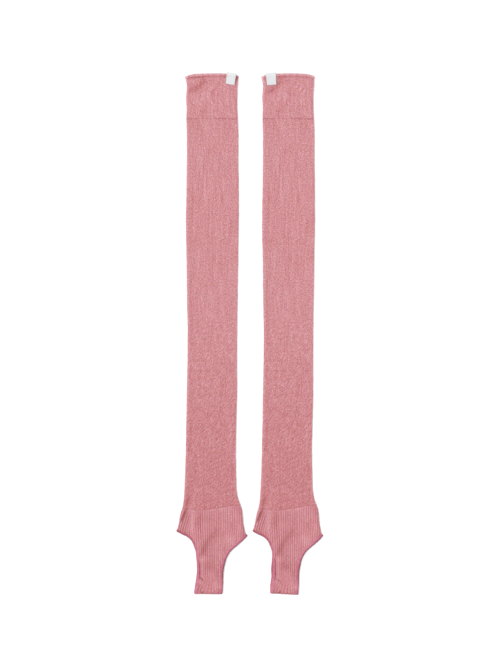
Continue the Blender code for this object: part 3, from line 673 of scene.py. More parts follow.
def smooth(knots, values, at):
    """A smooth curve through values at knots, at one place or many, and level past both ends."""
    knots, values = np.asarray(knots, float), np.asarray(values, float)
    at = np.clip(np.asarray(at, float), knots[0], knots[-1])
    slopes = np.gradient(values, knots, axis=0)
    i = np.clip(np.searchsorted(knots, at, side="right") - 1, 0, len(knots) - 2)
    step = knots[i + 1] - knots[i]
    t = (at - knots[i]) / step
    if values.ndim > 1:
        t, step = t[..., None], step[..., None]
    start = (1 + 2 * t) * (1 - t) ** 2 * values[i] + t * (1 - t) ** 2 * step * slopes[i]
    end = t * t * (3 - 2 * t) * values[i + 1] - t * t * (1 - t) * step * slopes[i + 1]
    return start + end


def read(rows, by, column, at):
    """One column of a table, on a smooth curve by another column."""
    return smooth([getattr(row, by) for row in rows], [getattr(row, column) for row in rows], at)


def ease(t):
    """0 to 1, with no slope at either end."""
    t = np.clip(t, 0.0, 1.0)
    return t * t * (3 - 2 * t)


def ripple(seed, across, down, shortest, longest):
    """Small uneven waves in the cloth, from -1 to 1 or so, the same each time for one seed."""
    rng = np.random.default_rng(seed)
    total = np.zeros(np.broadcast(across, down).shape)
    for _ in range(RIPPLE_WAVES):
        size = 2 * math.pi / rng.uniform(shortest, longest)
        turn, phase = rng.uniform(0, math.pi), rng.uniform(0, 2 * math.pi)
        total += np.sin(size * (across * math.cos(turn) + down * math.sin(turn)) + phase)
    return total / math.sqrt(RIPPLE_WAVES)


def bump(distance, spread):
    """1 on a line, falling away to 0 past its spread."""
    return np.exp(-((distance / spread) ** 2))


def stripe(line, place):
    """What a light or dark line adds to the tone at each place."""
    return line.tone * bump(place - line.at, line.spread)


# --- The shape of the flattened tube --------------------------------------------------------------


def left_side(down):
    return read(SIDES, "down", "left", down) + SIDE_TUCK


def right_side(down):
    return read(SIDES, "down", "right", down) - SIDE_TUCK


def rim_droop(across):
    return read(RIM, "across", "droop", across)


def join_line(across):
    return read(JOIN, "across", "down", across)


def from_side(across, down):
    """How far a place is from the nearer side fold."""
    return np.maximum(0.0, np.minimum(across - left_side(down), right_side(down) - across))


def side_across(side_of, down_at):
    """Where a row that isn't straight across meets a side fold."""
    across = side_of(down_at(np.sign(side_of(0.0)) * NOMINAL_WIDTH / 2))
    for _ in range(2):
        across = side_of(down_at(across))
    return across


def side_wobble(seed, down):
    """How unevenly a side fold runs."""
    return SIDE_WOBBLE * ripple(seed, 0.0, down, *SIDE_WOBBLES)


def creases(rows, column, across, down):
    """The sum of one column of a table of creases, at each place."""
    total = np.zeros(np.broadcast(across, down).shape)
    for crease in rows:
        x, y = across - crease.across, crease.down - down
        along = x * math.sin(crease.turn) + y * math.cos(crease.turn)
        wide = x * math.cos(crease.turn) - y * math.sin(crease.turn)
        shape = np.exp(-((along / crease.along) ** 4) - (wide / crease.width) ** 2)
        total += getattr(crease, column) * shape
    return total


def open_gap(across, down):
    """The gap between the panels: widest in the mouth, a little open at the folds."""
    mouth = (MOUTH_GAP - FOLD_GAP) * (1 - ease((down - rim_droop(across)) / MOUTH_REACH))
    side = bump(from_side(across, down), FOLD_REACH)
    return GAP + (FOLD_GAP - GAP) * np.maximum(side, 1 - ease(down / MOUTH_REACH)) + mouth


def calm_side(across, down):
    """0 on a side fold and 1 clear of it."""
    return 1 - bump(from_side(across, down), FOLD_REACH / 3)


def front_height(leg, across, down, wall):
    """Height of the front panel's outer face, with its creases and small waves."""
    waves = CLOTH_WAVE * ripple(leg.seed, across, down, *CLOTH_WAVES)
    relief = creases(leg.creases, "height", across, down) + waves
    return 2 * wall + open_gap(across, down) + calm_side(across, down) * relief


def back_height(across, down):
    """Height of the back panel's underside, which rests on the floor between its creases."""
    return calm_side(across, down) * creases(BACK_CREASES, "height", across, down)


def side_glow(across, down):
    """The light that the cloth catches close to its side folds."""
    by_left = bump(across - left_side(down) - GLOW_AT, GLOW_SPREAD)
    by_right = bump(right_side(down) - across - GLOW_AT, GLOW_SPREAD)
    left, right = (read(SIDE_GLOW, "down", side, down) for side in ("left", "right"))
    return 1 + left * by_left + right * by_right


def panel_tone(leg, across, down, on_front):
    """The painted shade and light of each panel's creases, with the light caught near its side folds."""
    front = creases(leg.creases, "tone", across, down)
    back = creases(BACK_CREASES, "tone", across, down)
    return (1 + np.where(on_front, front, back)) * side_glow(across, down)


def strap_end(leg, across, down):
    """How far the sloping end of the strap lies below its level line."""
    share = (across - END_SIDES[0]) / (END_SIDES[1] - END_SIDES[0])
    slope = leg.end[0] + (leg.end[1] - leg.end[0]) * np.clip(share, -0.2, 1.2)
    return slope * np.clip((down - END_FROM) / (OUTLINE_END - END_FROM), 0, 1.2)


def seam_line(distance, depth):
    """The dip beside a line where two pieces are linked."""
    return -depth * bump(distance, SEAM_SPREAD)


# --- Making meshes --------------------------------------------------------------------------------


def to_world(leg, across, down, up):
    """Points in the frame, from places on a leg warmer."""
    low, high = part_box(f"{leg.name}_leg")
    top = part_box(f"{leg.name}_welt")[1].y
    return np.stack([(low.x + high.x) / 2 + across, top - down, up], axis=-1)


def cloth_from_grid(name, columns, rows, shape):
    """A mesh from a flat grid.

    shape(s, t) gives each point, its place on the cloth opened flat and its tone, and it may give
    which points are kept.
    """
    bm = bmesh.new()
    bmesh.ops.create_grid(bm, x_segments=columns, y_segments=rows, size=0.5)
    mesh = bpy.data.meshes.new(name)
    bm.to_mesh(mesh)
    bm.free()
    spots = np.empty(3 * len(mesh.vertices))
    mesh.vertices.foreach_get("co", spots)
    spots = spots.reshape(-1, 3) + 0.5
    points, flat, tone, *kept = shape(spots[:, 0], spots[:, 1])
    mesh.vertices.foreach_set("co", points.ravel())
    mesh.attributes.new("tone", "FLOAT", "POINT").data.foreach_set("value", tone)
    corners = np.empty(len(mesh.loops), int)
    mesh.loops.foreach_get("vertex_index", corners)
    mesh.uv_layers.new(name="cloth").data.foreach_set("uv", flat[corners].ravel())
    for keep in kept:
        drop_points(mesh, keep)
    return mesh


def drop_points(mesh, keep):
    """Takes away the points that aren't kept, and then those that are in no face."""
    bm = bmesh.new()
    bm.from_mesh(mesh)
    gone = [vert for vert, kept in zip(bm.verts, keep) if not kept]
    bmesh.ops.delete(bm, geom=gone, context="VERTS")
    loose = [vert for vert in bm.verts if not vert.link_faces]
    bmesh.ops.delete(bm, geom=loose, context="VERTS")
    bm.to_mesh(mesh)
    bm.free()


def finish_mesh(*meshes):
    """One smooth mesh from one or more, its seams closed and its highest face turned up."""
    bm = bmesh.new()
    for mesh in meshes:
        bm.from_mesh(mesh)
    bmesh.ops.remove_doubles(bm, verts=bm.verts, dist=CLOSE)
    bmesh.ops.recalc_face_normals(bm, faces=bm.faces)
    highest = max(bm.faces, key=lambda face: face.calc_center_median().z)
    if highest.normal.z < 0:
        bmesh.ops.reverse_faces(bm, faces=bm.faces)
    for face in bm.faces:
        face.smooth = True
    bm.to_mesh(meshes[0])
    bm.free()
    for mesh in meshes[1:]:
        bpy.data.meshes.remove(mesh)
    return meshes[0]


def add_piece(leg, name, mesh, material, node):
    """One leg warmer's finished piece, which stands for one node of the frame."""
    piece = bpy.data.objects.new(f"{leg.name}_{name}", mesh)
    bpy.context.scene.collection.objects.link(piece)
    mesh.materials.append(material)
    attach(piece, "root")
    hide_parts(f"{leg.name}_{node}")
    return piece


def give_thickness(piece, thickness):
    shell = piece.modifiers.new("cloth", "SOLIDIFY")
    shell.thickness = thickness
    shell.offset = -1.0
    shell.use_even_offset = True


def ring_parts(share):
    """For a share of the way round the tube: which part it is on, and how far along that part."""
    starts = (0.0, PANEL_SHARE, PANEL_SHARE + FOLD_SHARE, 2 * PANEL_SHARE + FOLD_SHARE)
    part = np.searchsorted(starts[1:], share)
    along = (share - np.take(starts, part)) / np.take([PANEL_SHARE, FOLD_SHARE] * 2, part)
    return [part == k for k in range(4)], along


def tube_points(leg, share, down_at, wall_at, relief_at, tone_at, sink=0.0):
    """Places round the flat tube, where they are on the cloth opened flat, and their tones.

    down_at(across) gives each place's depth, and wall_at(down) the cloth's thickness there.
    relief_at(across, down) raises the face outwards, and sink takes it in below the surface, as for
    an inner layer. tone_at(across, down) is its shade.
    """
    parts, along = ring_parts(share)
    left = side_across(left_side, down_at) + side_wobble(leg.seed, down_at(-NOMINAL_WIDTH / 2))
    right = side_across(right_side, down_at) + side_wobble(leg.seed + 1, down_at(NOMINAL_WIDTH / 2))
    left_radius = wall_at(down_at(left)) + open_gap(left, down_at(left)) / 2
    right_radius = wall_at(down_at(right)) + open_gap(right, down_at(right)) / 2
    start, end = left + left_radius, right - right_radius
    crowded = (1 - np.cos(math.pi * along)) / 2
    across = start + (end - start) * np.select(parts, [crowded, 1.0, 1 - crowded, 0.0])
    down = down_at(across)
    relief = relief_at(across, down) - sink
    turn = math.pi * along
    right_reach = (right_radius + relief) * np.sin(turn)
    left_reach = (left_radius + relief) * np.sin(turn)
    x = np.select(parts, [across, end + right_reach, across, start - left_reach])
    # The folds run from one panel's height to the other's, and lie flat on the surface.
    over = front_height(leg, across, down, wall_at(down)) + relief
    under = back_height(across, down) + sink
    share_up = np.select(parts, [1.0, (1 + np.cos(turn)) / 2, 0.0, (1 - np.cos(turn)) / 2])
    up = under + (over - under) * share_up
    tone = panel_tone(leg, across, down, share_up > 0.5) * tone_at(across, down)
    arc = math.pi * WALL
    starts = np.select(parts, [0.0, NOMINAL_WIDTH, NOMINAL_WIDTH + arc, 2 * NOMINAL_WIDTH + arc])
    around = starts + np.where(parts[0] | parts[2], NOMINAL_WIDTH * crowded, arc * along)
    return to_world(leg, x, down, up), np.stack([around, down], axis=-1), tone


# --- The band and the leg -------------------------------------------------------------------------


def welt_wall(down):
    """The band is thick, and thins to the leg's own thickness at the join."""
    return WALL + (WELT_WALL - WALL) * ease((WELT_DEPTH - down) / WELT_THINS)


def leg_wall(down):
    return WALL


def rim_relief(knit, across, down):
    """The rolled rim stands out, with a groove under it."""
    below = (down - rim_droop(across)) / knit.rim_height
    roll = knit.rim_lift * np.exp(-(((below - ROLL) / ROLL) ** 4))
    return roll - knit.groove * bump(below - GROOVE_AT, GROOVE_SPREAD)


def rim_tone(knit, across, down):
    """The rim catches the light, and its groove holds shade, more in some places than in others."""
    below = (down - rim_droop(across)) / knit.rim_height
    right = GROOVE_RIGHT * ease(across / GROOVE_RIGHT_AT)
    groove = GROOVE_DARK + stripe(GROOVE_MIDDLE, across) + right
    return 1 + stripe(RIM_LIGHT, below) + groove * stripe(GROOVE_LINE, below)


def link_tone(across, down):
    """The link between the band and the leg is dark, but not all the way across."""
    stray = LINK_STRAY * ripple(STRAY_SEED, across, 0.0, *LINK_STRAYS)
    broken = 1 + LINK_BREAK * ripple(BREAK_SEED, across, 0.0, *LINK_BREAKS)
    dark = read(BAND_LINK, "across", "dark", across) * broken
    return 1 - dark * bump(down - WELT_DEPTH - LINK_BELOW - stray, LINK_SPREAD)


def crowd(t):
    """0 to 1, with the rows closer together at both ends."""
    return 0.5 * t + 0.5 * (1 - np.cos(math.pi * t)) / 2


def make_welt(leg, knit):
    """The doubled band: out from its lower edge up to the rim, over it, and down inside."""
    outer_end = 1 - BAND_BEND - BAND_INSIDE
    rest = WELT_DEPTH - LAP

    def shape(s, t):
        outer = t <= outer_end
        over = (t > outer_end) & (t <= outer_end + BAND_BEND)
        rise = crowd(np.clip(t / outer_end, 0, 1))
        turn = math.pi * np.clip((t - outer_end) / BAND_BEND, 0, 1)
        fall = np.clip((t - outer_end - BAND_BEND) / BAND_INSIDE, 0, 1)
        sink = np.select([outer, over], [0.0, BAND_LAYER * (1 - np.cos(turn)) / 2], BAND_LAYER)

        def down_at(across):
            rim = rim_droop(across) + BAND_LAYER / 2
            top = rim - BAND_LAYER / 2 * np.sin(turn)
            return np.select([outer, over], [rest + (rim - rest) * rise, top], rim + (rest - rim) * fall)

        def relief_at(across, down):
            seam = seam_line(down - WELT_DEPTH, knit.seam_depth)
            return np.where(outer, rim_relief(knit, across, down) + seam, 0.0)

        def tone_at(across, down):
            return np.where(outer, rim_tone(knit, across, down) * link_tone(across, down), 1.0)

        return tube_points(leg, s, down_at, welt_wall, relief_at, tone_at, sink)

    return finish_mesh(cloth_from_grid(f"{leg.name} band", *BAND_GRID, shape))


def make_leg(leg, knit):
    """The plain tube, from its link to the band to its link to the ankle."""
    top = WELT_DEPTH - LAP

    def relief_at(across, down):
        at_ankle = seam_line(down - join_line(across), knit.seam_depth / 2)
        return seam_line(down - WELT_DEPTH, knit.seam_depth) + at_ankle

    def tone_at(across, down):
        dots = 1 - JOIN_UNEVEN + JOIN_UNEVEN * ripple(leg.seed + 6, across, 0.0, *JOIN_WAVES)
        at_ankle = 1 + stripe(JOIN_LINE, down - join_line(across)) * dots
        return at_ankle * link_tone(across, down) * read(LEG_SHADES, "down", "tone", down)

    def shape(s, t):
        def down_at(across):
            return top + (join_line(across) + LAP - top) * crowd(t)

        return tube_points(leg, s, down_at, leg_wall, relief_at, tone_at)

    return finish_mesh(cloth_from_grid(f"{leg.name} leg", *LEG_GRID, shape))


# --- The edges of the two openings ----------------------------------------------------------------


def layer_edge(edge, strap, layer):
    """One layer's own edge: on the strap the layers don't lie quite on each other."""
    if strap is None:
        return list(edge)
    return [p._replace(across=p.across - float(read(strap, "down", layer, p.down))) for p in edge]


def run_lengths(places):
    """How far along a line each of its places is."""
    steps = np.linalg.norm(np.diff(places, axis=0), axis=1)
    return np.concatenate([[0.0], np.cumsum(steps)])


def edge_path(edge, count, toward_cloth):
    """Even places on a smooth curve through an edge, with tangents, ways to the cloth and widths."""
    knots = np.array(edge, float)
    at = run_lengths(knots[:, :2])
    fine = smooth(at, knots, np.linspace(0.0, at[-1], 6 * count))
    along = run_lengths(fine[:, :2])
    even = np.linspace(0.0, along[-1], count + 1)
    places = np.stack([np.interp(even, along, fine[:, k]) for k in range(3)], axis=1)
    tangents = np.gradient(places[:, :2], axis=0)
    tangents /= np.linalg.norm(tangents, axis=1)[:, None]
    inward = toward_cloth * np.stack([tangents[:, 1], -tangents[:, 0]], axis=1)
    return places[:, :2], tangents, inward, places[:, 2:]


def is_inside(across, down, edge, toward_cloth):
    """Which places are on the cloth's side of an opening, past a share of its edge's width."""
    places, tangents, inward, widths = edge_path(edge, OUTLINE_PLACES, toward_cloth)
    start, end = places[0] - tangents[0] * PAST_ENDS, places[-1] + tangents[-1] * PAST_ENDS
    line = np.concatenate([[start], places + inward * widths * EDGE_INSET, [end]])
    ways = np.concatenate([inward[:1], inward, inward[-1:]])
    spots = np.stack([across, down], axis=1)
    apart = spots[:, None, :] - line[None, :, :]
    nearest = np.argmin((apart**2).sum(axis=2), axis=1)
    chosen = apart[np.arange(len(spots)), nearest]
    return (chosen * ways[nearest]).sum(axis=1) > 0


Strand = namedtuple("Strand", "centre heading outward half")


def edge_strand(line, toward_cloth, trim):
    """The middle of an edge on one layer, trimmed at both ends, with ways out and half widths."""
    places, tangents, inward, widths = edge_path(line, EDGE_PLACES, toward_cloth)
    centre = places + inward * widths / 2
    centre[0] += tangents[0] * trim
    centre[-1] -= tangents[-1] * trim
    near = EDGE_PLACES // 4
    keep = np.ones(len(centre), bool)
    keep[1:near] = ((centre - centre[0]) @ tangents[0] >= 0)[1:near]
    keep[-near:-1] = ((centre[-1] - centre) @ tangents[-1] >= 0)[-near:-1]
    return Strand(centre[keep], tangents[keep], -inward[keep], widths[keep] / 2)


def along_layer(strand, height, rise):
    """Rows of a loop that lie along one layer: place, way out, half width, lean and rise."""
    ones = np.ones((len(strand.centre), 1))
    level = np.zeros_like(strand.centre)
    return np.hstack([strand.centre, height * ones, strand.outward, strand.half, level, rise * ones])


def round_corner(over, under, end, ahead, low, high):
    """Rows of a loop that turn from the front layer's end down to the back layer's."""
    turn = math.pi * np.arange(1, BEND_STEPS)[:, None] / BEND_STEPS
    share = (1 - np.cos(turn)) / 2
    bend = (high - low) / 2
    heading = ahead * over.heading[end]
    flat = over.centre[end] * (1 - share) + under.centre[end] * share + heading * bend * np.sin(turn)
    up = (low + high) / 2 + bend * np.cos(turn)
    ones = np.ones_like(turn)
    lean = heading * np.sin(turn)
    return np.hstack([flat, up, over.outward[end] * ones, over.half[end] * ones, lean, np.cos(turn)])


def edge_loop(edge, strap, toward_cloth, thick, low, high):
    """The rows of a closed loop: along the front layer, round the strap, and along the back."""
    trim = (high - low) / 2 + thick
    over = edge_strand(layer_edge(edge, strap, "front"), toward_cloth, trim)
    under = edge_strand(layer_edge(edge, strap, "back"), toward_cloth, trim)
    runs = [
        along_layer(over, high, 1),
        round_corner(over, under, -1, 1, low, high),
        along_layer(under, low, -1)[::-1],
        round_corner(over, under, 0, -1, low, high)[::-1],
    ]
    loop = np.concatenate(runs)
    return np.concatenate([loop, loop[:1]])


def edge_tone(tones_and_shades, down, wide):
    """The tone along an edge, with painted light and shade on its sides: wide is -1 next to the cloth
    and 1 on the outer side.
    """
    inner, outer = np.clip(-1.3 * wide - 0.1, 0, 1), np.clip(1.1 * wide, 0, 1) ** 1.5
    sides = read(tones_and_shades, "down", "inner", down) * inner + read(tones_and_shades, "down", "outer", down) * outer
    return read(tones_and_shades, "down", "whole", down) + sides


def make_edge(leg, knit, edge, strap, toward_cloth, tones_and_shades):
    """An overlocked edge: a flat closed loop along the front layer, round the strap and back."""
    thick = knit.edge_thickness / 2
    low, high = thick + EDGE_CLEAR, 2 * WALL + GAP + EDGE_OVER - thick
    loop = edge_loop(edge, strap, toward_cloth, thick, low, high)
    along = run_lengths(loop[:, :3])
    stitches = round(along[-1] / knit.edge_pitch)

    def shape(s, t):
        at = t * along[-1]
        columns = (np.interp(at, along, column) for column in loop.T)
        x, y, z, out_x, out_y, half, lean_x, lean_y, rise = columns
        turn = 2 * math.pi * s
        wide, tall = np.cos(turn), np.sin(turn)
        tall = np.sign(tall) * np.abs(tall) ** 0.8
        # Threads lie slanted over the edge, one beside the other.
        stray = THREAD_STRAY * ripple(leg.seed, at, 0.0, *THREAD_STRAYS)
        thread = stitches * t + THREAD_SLANT * np.abs(np.cos(turn / 2)) + stray
        ridge = knit.edge_ridge * (np.abs(np.cos(math.pi * thread)) ** 0.7 - 0.6)
        uneven = 1 + EDGE_UNEVEN * ripple(leg.seed + 2, at, 0.0, *EDGE_WAVES)
        reach = (half * uneven + ridge) * wide
        depth = (thick * (1 + 0.5 * (uneven - 1)) + ridge) * tall
        across, down = x + out_x * reach + lean_x * depth, y + out_y * reach + lean_y * depth
        # The back layer gets painted shade.
        tone = edge_tone(tones_and_shades, y, wide) * np.where(z > (low + high) / 2, 1.0, BACK_LAYER_SHADE)
        place = to_world(leg, across, down + strap_end(leg, across, down), z + rise * depth)
        return place, np.stack([4 * thick * s, at], axis=-1), tone

    rows = round(along[-1] / knit.edge_pitch * ROWS_A_STITCH)
    return finish_mesh(cloth_from_grid(f"{leg.name} edge", EDGE_COLUMNS, rows, shape))


# --- The ribbed ankle and its strap ---------------------------------------------------------------


def rib_profile(count):
    """0 in the grooves and 1 on the crest of each rib."""
    return (0.5 + 0.5 * np.cos(2 * math.pi * count)) ** 0.7


def rib_count(across, down):
    """How many ribs each place is from the crest that runs straight down."""
    leaning = ease((FAN_FROM - across) / (FAN_FROM - FAN_FULL))
    foot = across - FAN_LEAN * leaning * np.maximum(FAN_END - down, 0.0)
    lower = ease((down - LEAN_FROM) / (STRAP_FOLD - LEAN_FROM))
    nearer = ease((LEAN_INNER - across) / (LEAN_INNER - LEAN_OUTER))
    foot = foot + LEAN_MOST * lower * nearer
    return (foot - RIB_CREST) / read(RIB_PITCHES, "down", "pitch", down)


def rib_strength(leg, across, down):
    """How clear the ribs are: they start just under the join, and lie low in some places."""
    start = ease((down - join_line(across) - RIBS_BELOW) / RIBS_GROW)
    uneven = 1 + RIBS_UNEVEN * ripple(RIB_SEED, across, down, *RIB_WAVES)
    return start * np.clip(uneven - creases(leg.fades, "lost", across, down), 0.0, RIBS_CLEAREST)


def ankle_down(share, across):
    """How far down each row of the ankle is, from the join to the strap's fold."""
    start = join_line(across) - LAP
    return start + (STRAP_FOLD - start) * share


def ankle_top():
    """Where the ankle's first row starts and ends, inside its side folds."""
    left = float(left_side(join_line(JOIN_SIDES[0]))) + ANKLE_RADIUS
    return left, float(right_side(join_line(JOIN_SIDES[1]))) - ANKLE_RADIUS


def ankle_across(leg, knit, rest, share):
    """Where each column of the first row has got to: those beside a side fold lean with it."""
    first, last = ankle_top()
    fan = FAN_RIBS * (last - first) / knit.ribs
    left = side_across(left_side, lambda across: ankle_down(share, across))
    right = side_across(right_side, lambda across: ankle_down(share, across))
    left = left + side_wobble(leg.seed, ankle_down(share, left))
    right = right + side_wobble(leg.seed + 1, ankle_down(share, right))
    lean_left = ease(1 - (rest - first) / fan) * (left + ANKLE_RADIUS - first)
    lean_right = ease(1 - (last - rest) / fan) * (right - ANKLE_RADIUS - last)
    return rest + lean_left + lean_right


def ankle_layers(leg, knit, count, across, down):
    """The ribs' relief, and the heights of both faces: on the back, crests rest on the floor."""
    strength = rib_strength(leg, across, down)
    ribs = knit.rib_height * (rib_profile(count) - RIB_MIDDLE)
    seam = seam_line(down - join_line(across), knit.seam_depth / 2)
    over = front_height(leg, across, down, WALL) + ribs * strength + seam
    resting = ribs * np.minimum(strength, 1.0) + seam
    under = back_height(across, down) + knit.rib_height * (1 - RIB_MIDDLE) - resting
    return ribs * strength + seam, over, under


def ankle_tone(leg, count, across, down, on_front):
    """Shade in the ribs' grooves, on the dark link and below, where the first row catches light."""
    groove = RIB_SHADE + (RIB_LIGHT - RIB_SHADE) * rib_profile(count) - 1
    ribs = 1 + rib_strength(leg, across, down) * groove
    below = down - join_line(across)
    link = 1 + stripe(FIRST_ROW, below) + stripe(ANKLE_LINK, below)
    shade = read(ANKLE_SHADES, "down", "tone", down)
    return panel_tone(leg, across, down, on_front) * link * ribs * shade


def ankle_panels(leg, knit, s, t):
    """The front, the turn under the foot and the back, with both openings left out."""
    first, last = ankle_top()
    front, back = t <= ANKLE_PANEL, t >= 1 - ANKLE_PANEL
    share = np.select([front, back], [t / ANKLE_PANEL, (1 - t) / ANKLE_PANEL], 1.0)
    across = ankle_across(leg, knit, first + (last - first) * s, share)
    down = ankle_down(share, across)
    count = rib_count(across, down)
    _, over, under = ankle_layers(leg, knit, count, across, down)
    turn = math.pi * np.clip((t - ANKLE_PANEL) / STRAP_TURN, 0, 1)
    reach = (over - under) / 2
    turned = down + np.where(front | back, 0.0, reach * np.sin(turn))
    up = np.select([front, back], [over, under], under + reach * (1 + np.cos(turn)))
    on_front = front | (turn < math.pi / 2)
    tone = ankle_tone(leg, count, across, down, on_front) * (1 - END_SHADE * np.sin(turn) ** 2)
    past_fold = STRAP_FOLD + TURN_LENGTH * turn / math.pi
    flat_down = np.select([front, back], [down, 2 * STRAP_FOLD + TURN_LENGTH - down], past_fold)
    flat = np.stack([count * RIB_PITCH, flat_down], axis=-1)
    keep = is_inside(across, turned, leg.toe, -1)
    for layer, on_layer in (("front", on_front), ("back", ~on_front)):
        keep &= ~on_layer | is_inside(across, turned, layer_edge(HEEL_EDGE, leg.strap, layer), 1)
    return to_world(leg, across, turned + strap_end(leg, across, turned), up), flat, tone, keep


def ankle_fold(leg, knit, side, s, t):
    """A side fold, as far as the corner of its opening."""
    left, right = ankle_top()
    rest, opening = (left, HEEL_EDGE) if side < 0 else (right, leg.toe)
    across = ankle_across(leg, knit, np.full_like(s, rest), t)
    down = ankle_down(t, across)
    turn = math.pi * s
    count = rib_count(across, down) + side * FOLD_RIBS * s
    relief, over, under = ankle_layers(leg, knit, count, across, down)
    x = across + side * (ANKLE_RADIUS + relief) * np.sin(turn)
    up = under + (over - under) / 2 * (1 + np.cos(turn))
    tone = ankle_tone(leg, count, across, down, turn < math.pi / 2)
    flat = np.stack([count * RIB_PITCH, down], axis=-1)
    return to_world(leg, x, down, up), flat, tone, down < opening[0].down - CORNER_GAP


def make_ankle(leg, knit):
    """The ribbed tube with its strap: its panels, on the same rows as its two side folds."""
    panels = partial(ankle_panels, leg, knit)
    meshes = [cloth_from_grid(f"{leg.name} ankle", knit.ribs * COLUMNS_A_RIB, ANKLE_ROWS, panels)]
    rows = round(ANKLE_ROWS * ANKLE_PANEL)
    for side in (-1, 1):
        fold = partial(ankle_fold, leg, knit, side)
        meshes.append(cloth_from_grid("fold", FOLD_COLUMNS, rows, fold))
    return finish_mesh(*meshes)


# --- The label ------------------------------------------------------------------------------------


def label_levels(leg, knit, top):
    """How high the label goes over the rim, and how high it lies inside the mouth."""
    half = leg.label.width / 2
    rows = np.linspace(top + LABEL_RIM[0], top + LABEL_RIM[1], 7)
    aside, down = np.meshgrid(np.linspace(-half, half, 9), rows)
    rim = float(np.max(front_height(leg, leg.label.across + aside, down, WELT_WALL)))
    tucked = float(np.min(open_gap(leg.label.across + aside, top + LABEL_TUCK)))
    return rim + knit.rim_lift + LABEL_CLEAR + knit.tape_thickness, WELT_WALL + tucked - LABEL_CLEAR


def label_curl(label, wide, leaf):
    """The front leaf's lower corners and its right side lift a little."""
    side = 2 * wide / label.width
    corners = LABEL_CORNER * ease(1 - leaf * 5) * (0.4 + 1.2 * np.abs(side) ** 2)
    return corners + LABEL_CURL * ease(side) * ease(leaf * 3) * ease((1 - leaf) * 3)


def make_label(leg, knit):
    """A tape folded over the rim: its front leaf, the bend over the rim and a short inner leaf."""
    label = leg.label
    top = label.down - label.length / 2
    high, inside = label_levels(leg, knit, top)
    bend = (high - inside) / 2
    start = top + bend * LABEL_SQUASH

    def shape(s, t):
        leaf = np.clip(t / LABEL_LEAF, 0, 1)
        wide = (s - 0.5) * label.width * (1 + LABEL_TAPER * (1 - 2 * (1 - leaf)))
        turn = math.pi * np.clip((t - LABEL_LEAF) / LABEL_BEND, 0, 1)
        tuck = LABEL_TUCK * np.clip((t - LABEL_LEAF - LABEL_BEND) / (1 - LABEL_LEAF - LABEL_BEND), 0, 1)
        down = top + label.length + (start - top - label.length) * leaf
        across = label.across + wide
        roll = np.maximum(rim_relief(knit, across, down), 0.0)
        clear = LABEL_CLEAR + knit.tape_thickness
        resting = front_height(leg, across, down, WELT_WALL) + roll + clear
        lift = ease((start + LABEL_LIFT - down) / LABEL_LIFT)
        height = resting * (1 - lift) + high * lift + label_curl(label, wide, leaf)
        parts = [t <= LABEL_LEAF, t <= LABEL_LEAF + LABEL_BEND]
        run = np.select(parts, [down, start - bend * LABEL_SQUASH * np.sin(turn)], start + tuck)
        up = np.select(parts, [height, inside + bend * (1 + np.cos(turn))], inside)
        lengths = [label.length * leaf, label.length + bend * turn]
        length_along = np.select(parts, lengths, label.length + bend * math.pi + tuck)
        cos, sin = math.cos(label.turn), math.sin(label.turn)
        turned_across = label.across + wide * cos - (label.down - run) * sin
        turned_down = label.down - (wide * sin + (label.down - run) * cos)
        tone = 1 + stripe(SELVEDGE, np.abs(wide) - label.width / 2)
        # Painted light on the label's upper part.
        tone = tone * (1 + LABEL_LIGHT * ease((leaf - LABEL_LIT) * 6))
        place = to_world(leg, turned_across, turned_down, up)
        return place, np.stack([wide, length_along], axis=-1), tone

    return finish_mesh(cloth_from_grid(f"{leg.name} label", *LABEL_GRID, shape))


# --- Materials ------------------------------------------------------------------------------------


class Graph:
    """Adds nodes to a tree and links them."""

    def __init__(self, tree):
        self.tree = tree

    def node(self, kind, inputs=(), **settings):
        """A node with its settings, and what goes into its inputs, by their names or numbers."""
        node = self.tree.nodes.new(kind)
        for key, value in settings.items():
            setattr(node, key, value)
        for key, value in dict(inputs).items():
            self.feed(node.inputs[key], value)
        return node

    def feed(self, socket, value):
        if isinstance(value, bpy.types.NodeSocket):
            self.tree.links.new(value, socket)
        else:
            socket.default_value = value

    def maths(self, operation, *values):
        return self.node("ShaderNodeMath", enumerate(values), operation=operation).outputs[0]

    def add(self, first, second):
        return self.maths("ADD", first, second)

    def less(self, first, second):
        return self.maths("SUBTRACT", first, second)

    def times(self, first, second):
        return self.maths("MULTIPLY", first, second)

    def shift(self, vector, offset):
        return self.node("ShaderNodeVectorMath", {0: vector, 1: offset}, operation="ADD").outputs[0]

    def stretch(self, vector, x, y, turn=0.0):
        inputs = {"Vector": vector, "Scale": (x, y, 1.0), "Rotation": (0.0, 0.0, turn)}
        return self.node("ShaderNodeMapping", inputs).outputs[0]

    def noise(self, vector, scale, detail=2.0, roughness=0.5):
        inputs = {"Vector": vector, "Scale": scale, "Detail": detail, "Roughness": roughness}
        return self.node("ShaderNodeTexNoise", inputs).outputs["Fac"]

    def remap(self, value, low, high, to_low=0.0, to_high=1.0):
        inputs = {"Value": value, "From Min": low, "From Max": high, "To Min": to_low, "To Max": to_high}
        return self.node("ShaderNodeMapRange", inputs).outputs[0]

    def call(self, group, **values):
        """The outputs of a node group whose inputs are given by name."""
        inputs = {name.capitalize(): value for name, value in values.items()}
        return self.node("ShaderNodeGroup", inputs, node_tree=group).outputs


SOCKETS = {"Cloth": "NodeSocketVector", "Yarn": "NodeSocketColor", "Colour": "NodeSocketColor"}


def shared_group(name, inputs, outputs, fill):
    """The node group of that name. A new one gets its nodes from fill, which gives its outputs."""
    found = bpy.data.node_groups.get(name)
    if found:
        return found
    tree = bpy.data.node_groups.new(name, "ShaderNodeTree")
    for way, labels in (("INPUT", inputs), ("OUTPUT", outputs)):
        for label in labels:
            kind = SOCKETS.get(label, "NodeSocketFloat")
            tree.interface.new_socket(label, in_out=way, socket_type=kind)
    graph = Graph(tree)
    given, out = graph.node("NodeGroupInput").outputs, graph.node("NodeGroupOutput").inputs
    for label, value in fill(graph, *(given[label] for label in inputs)).items():
        graph.feed(out[label], value)
    return tree


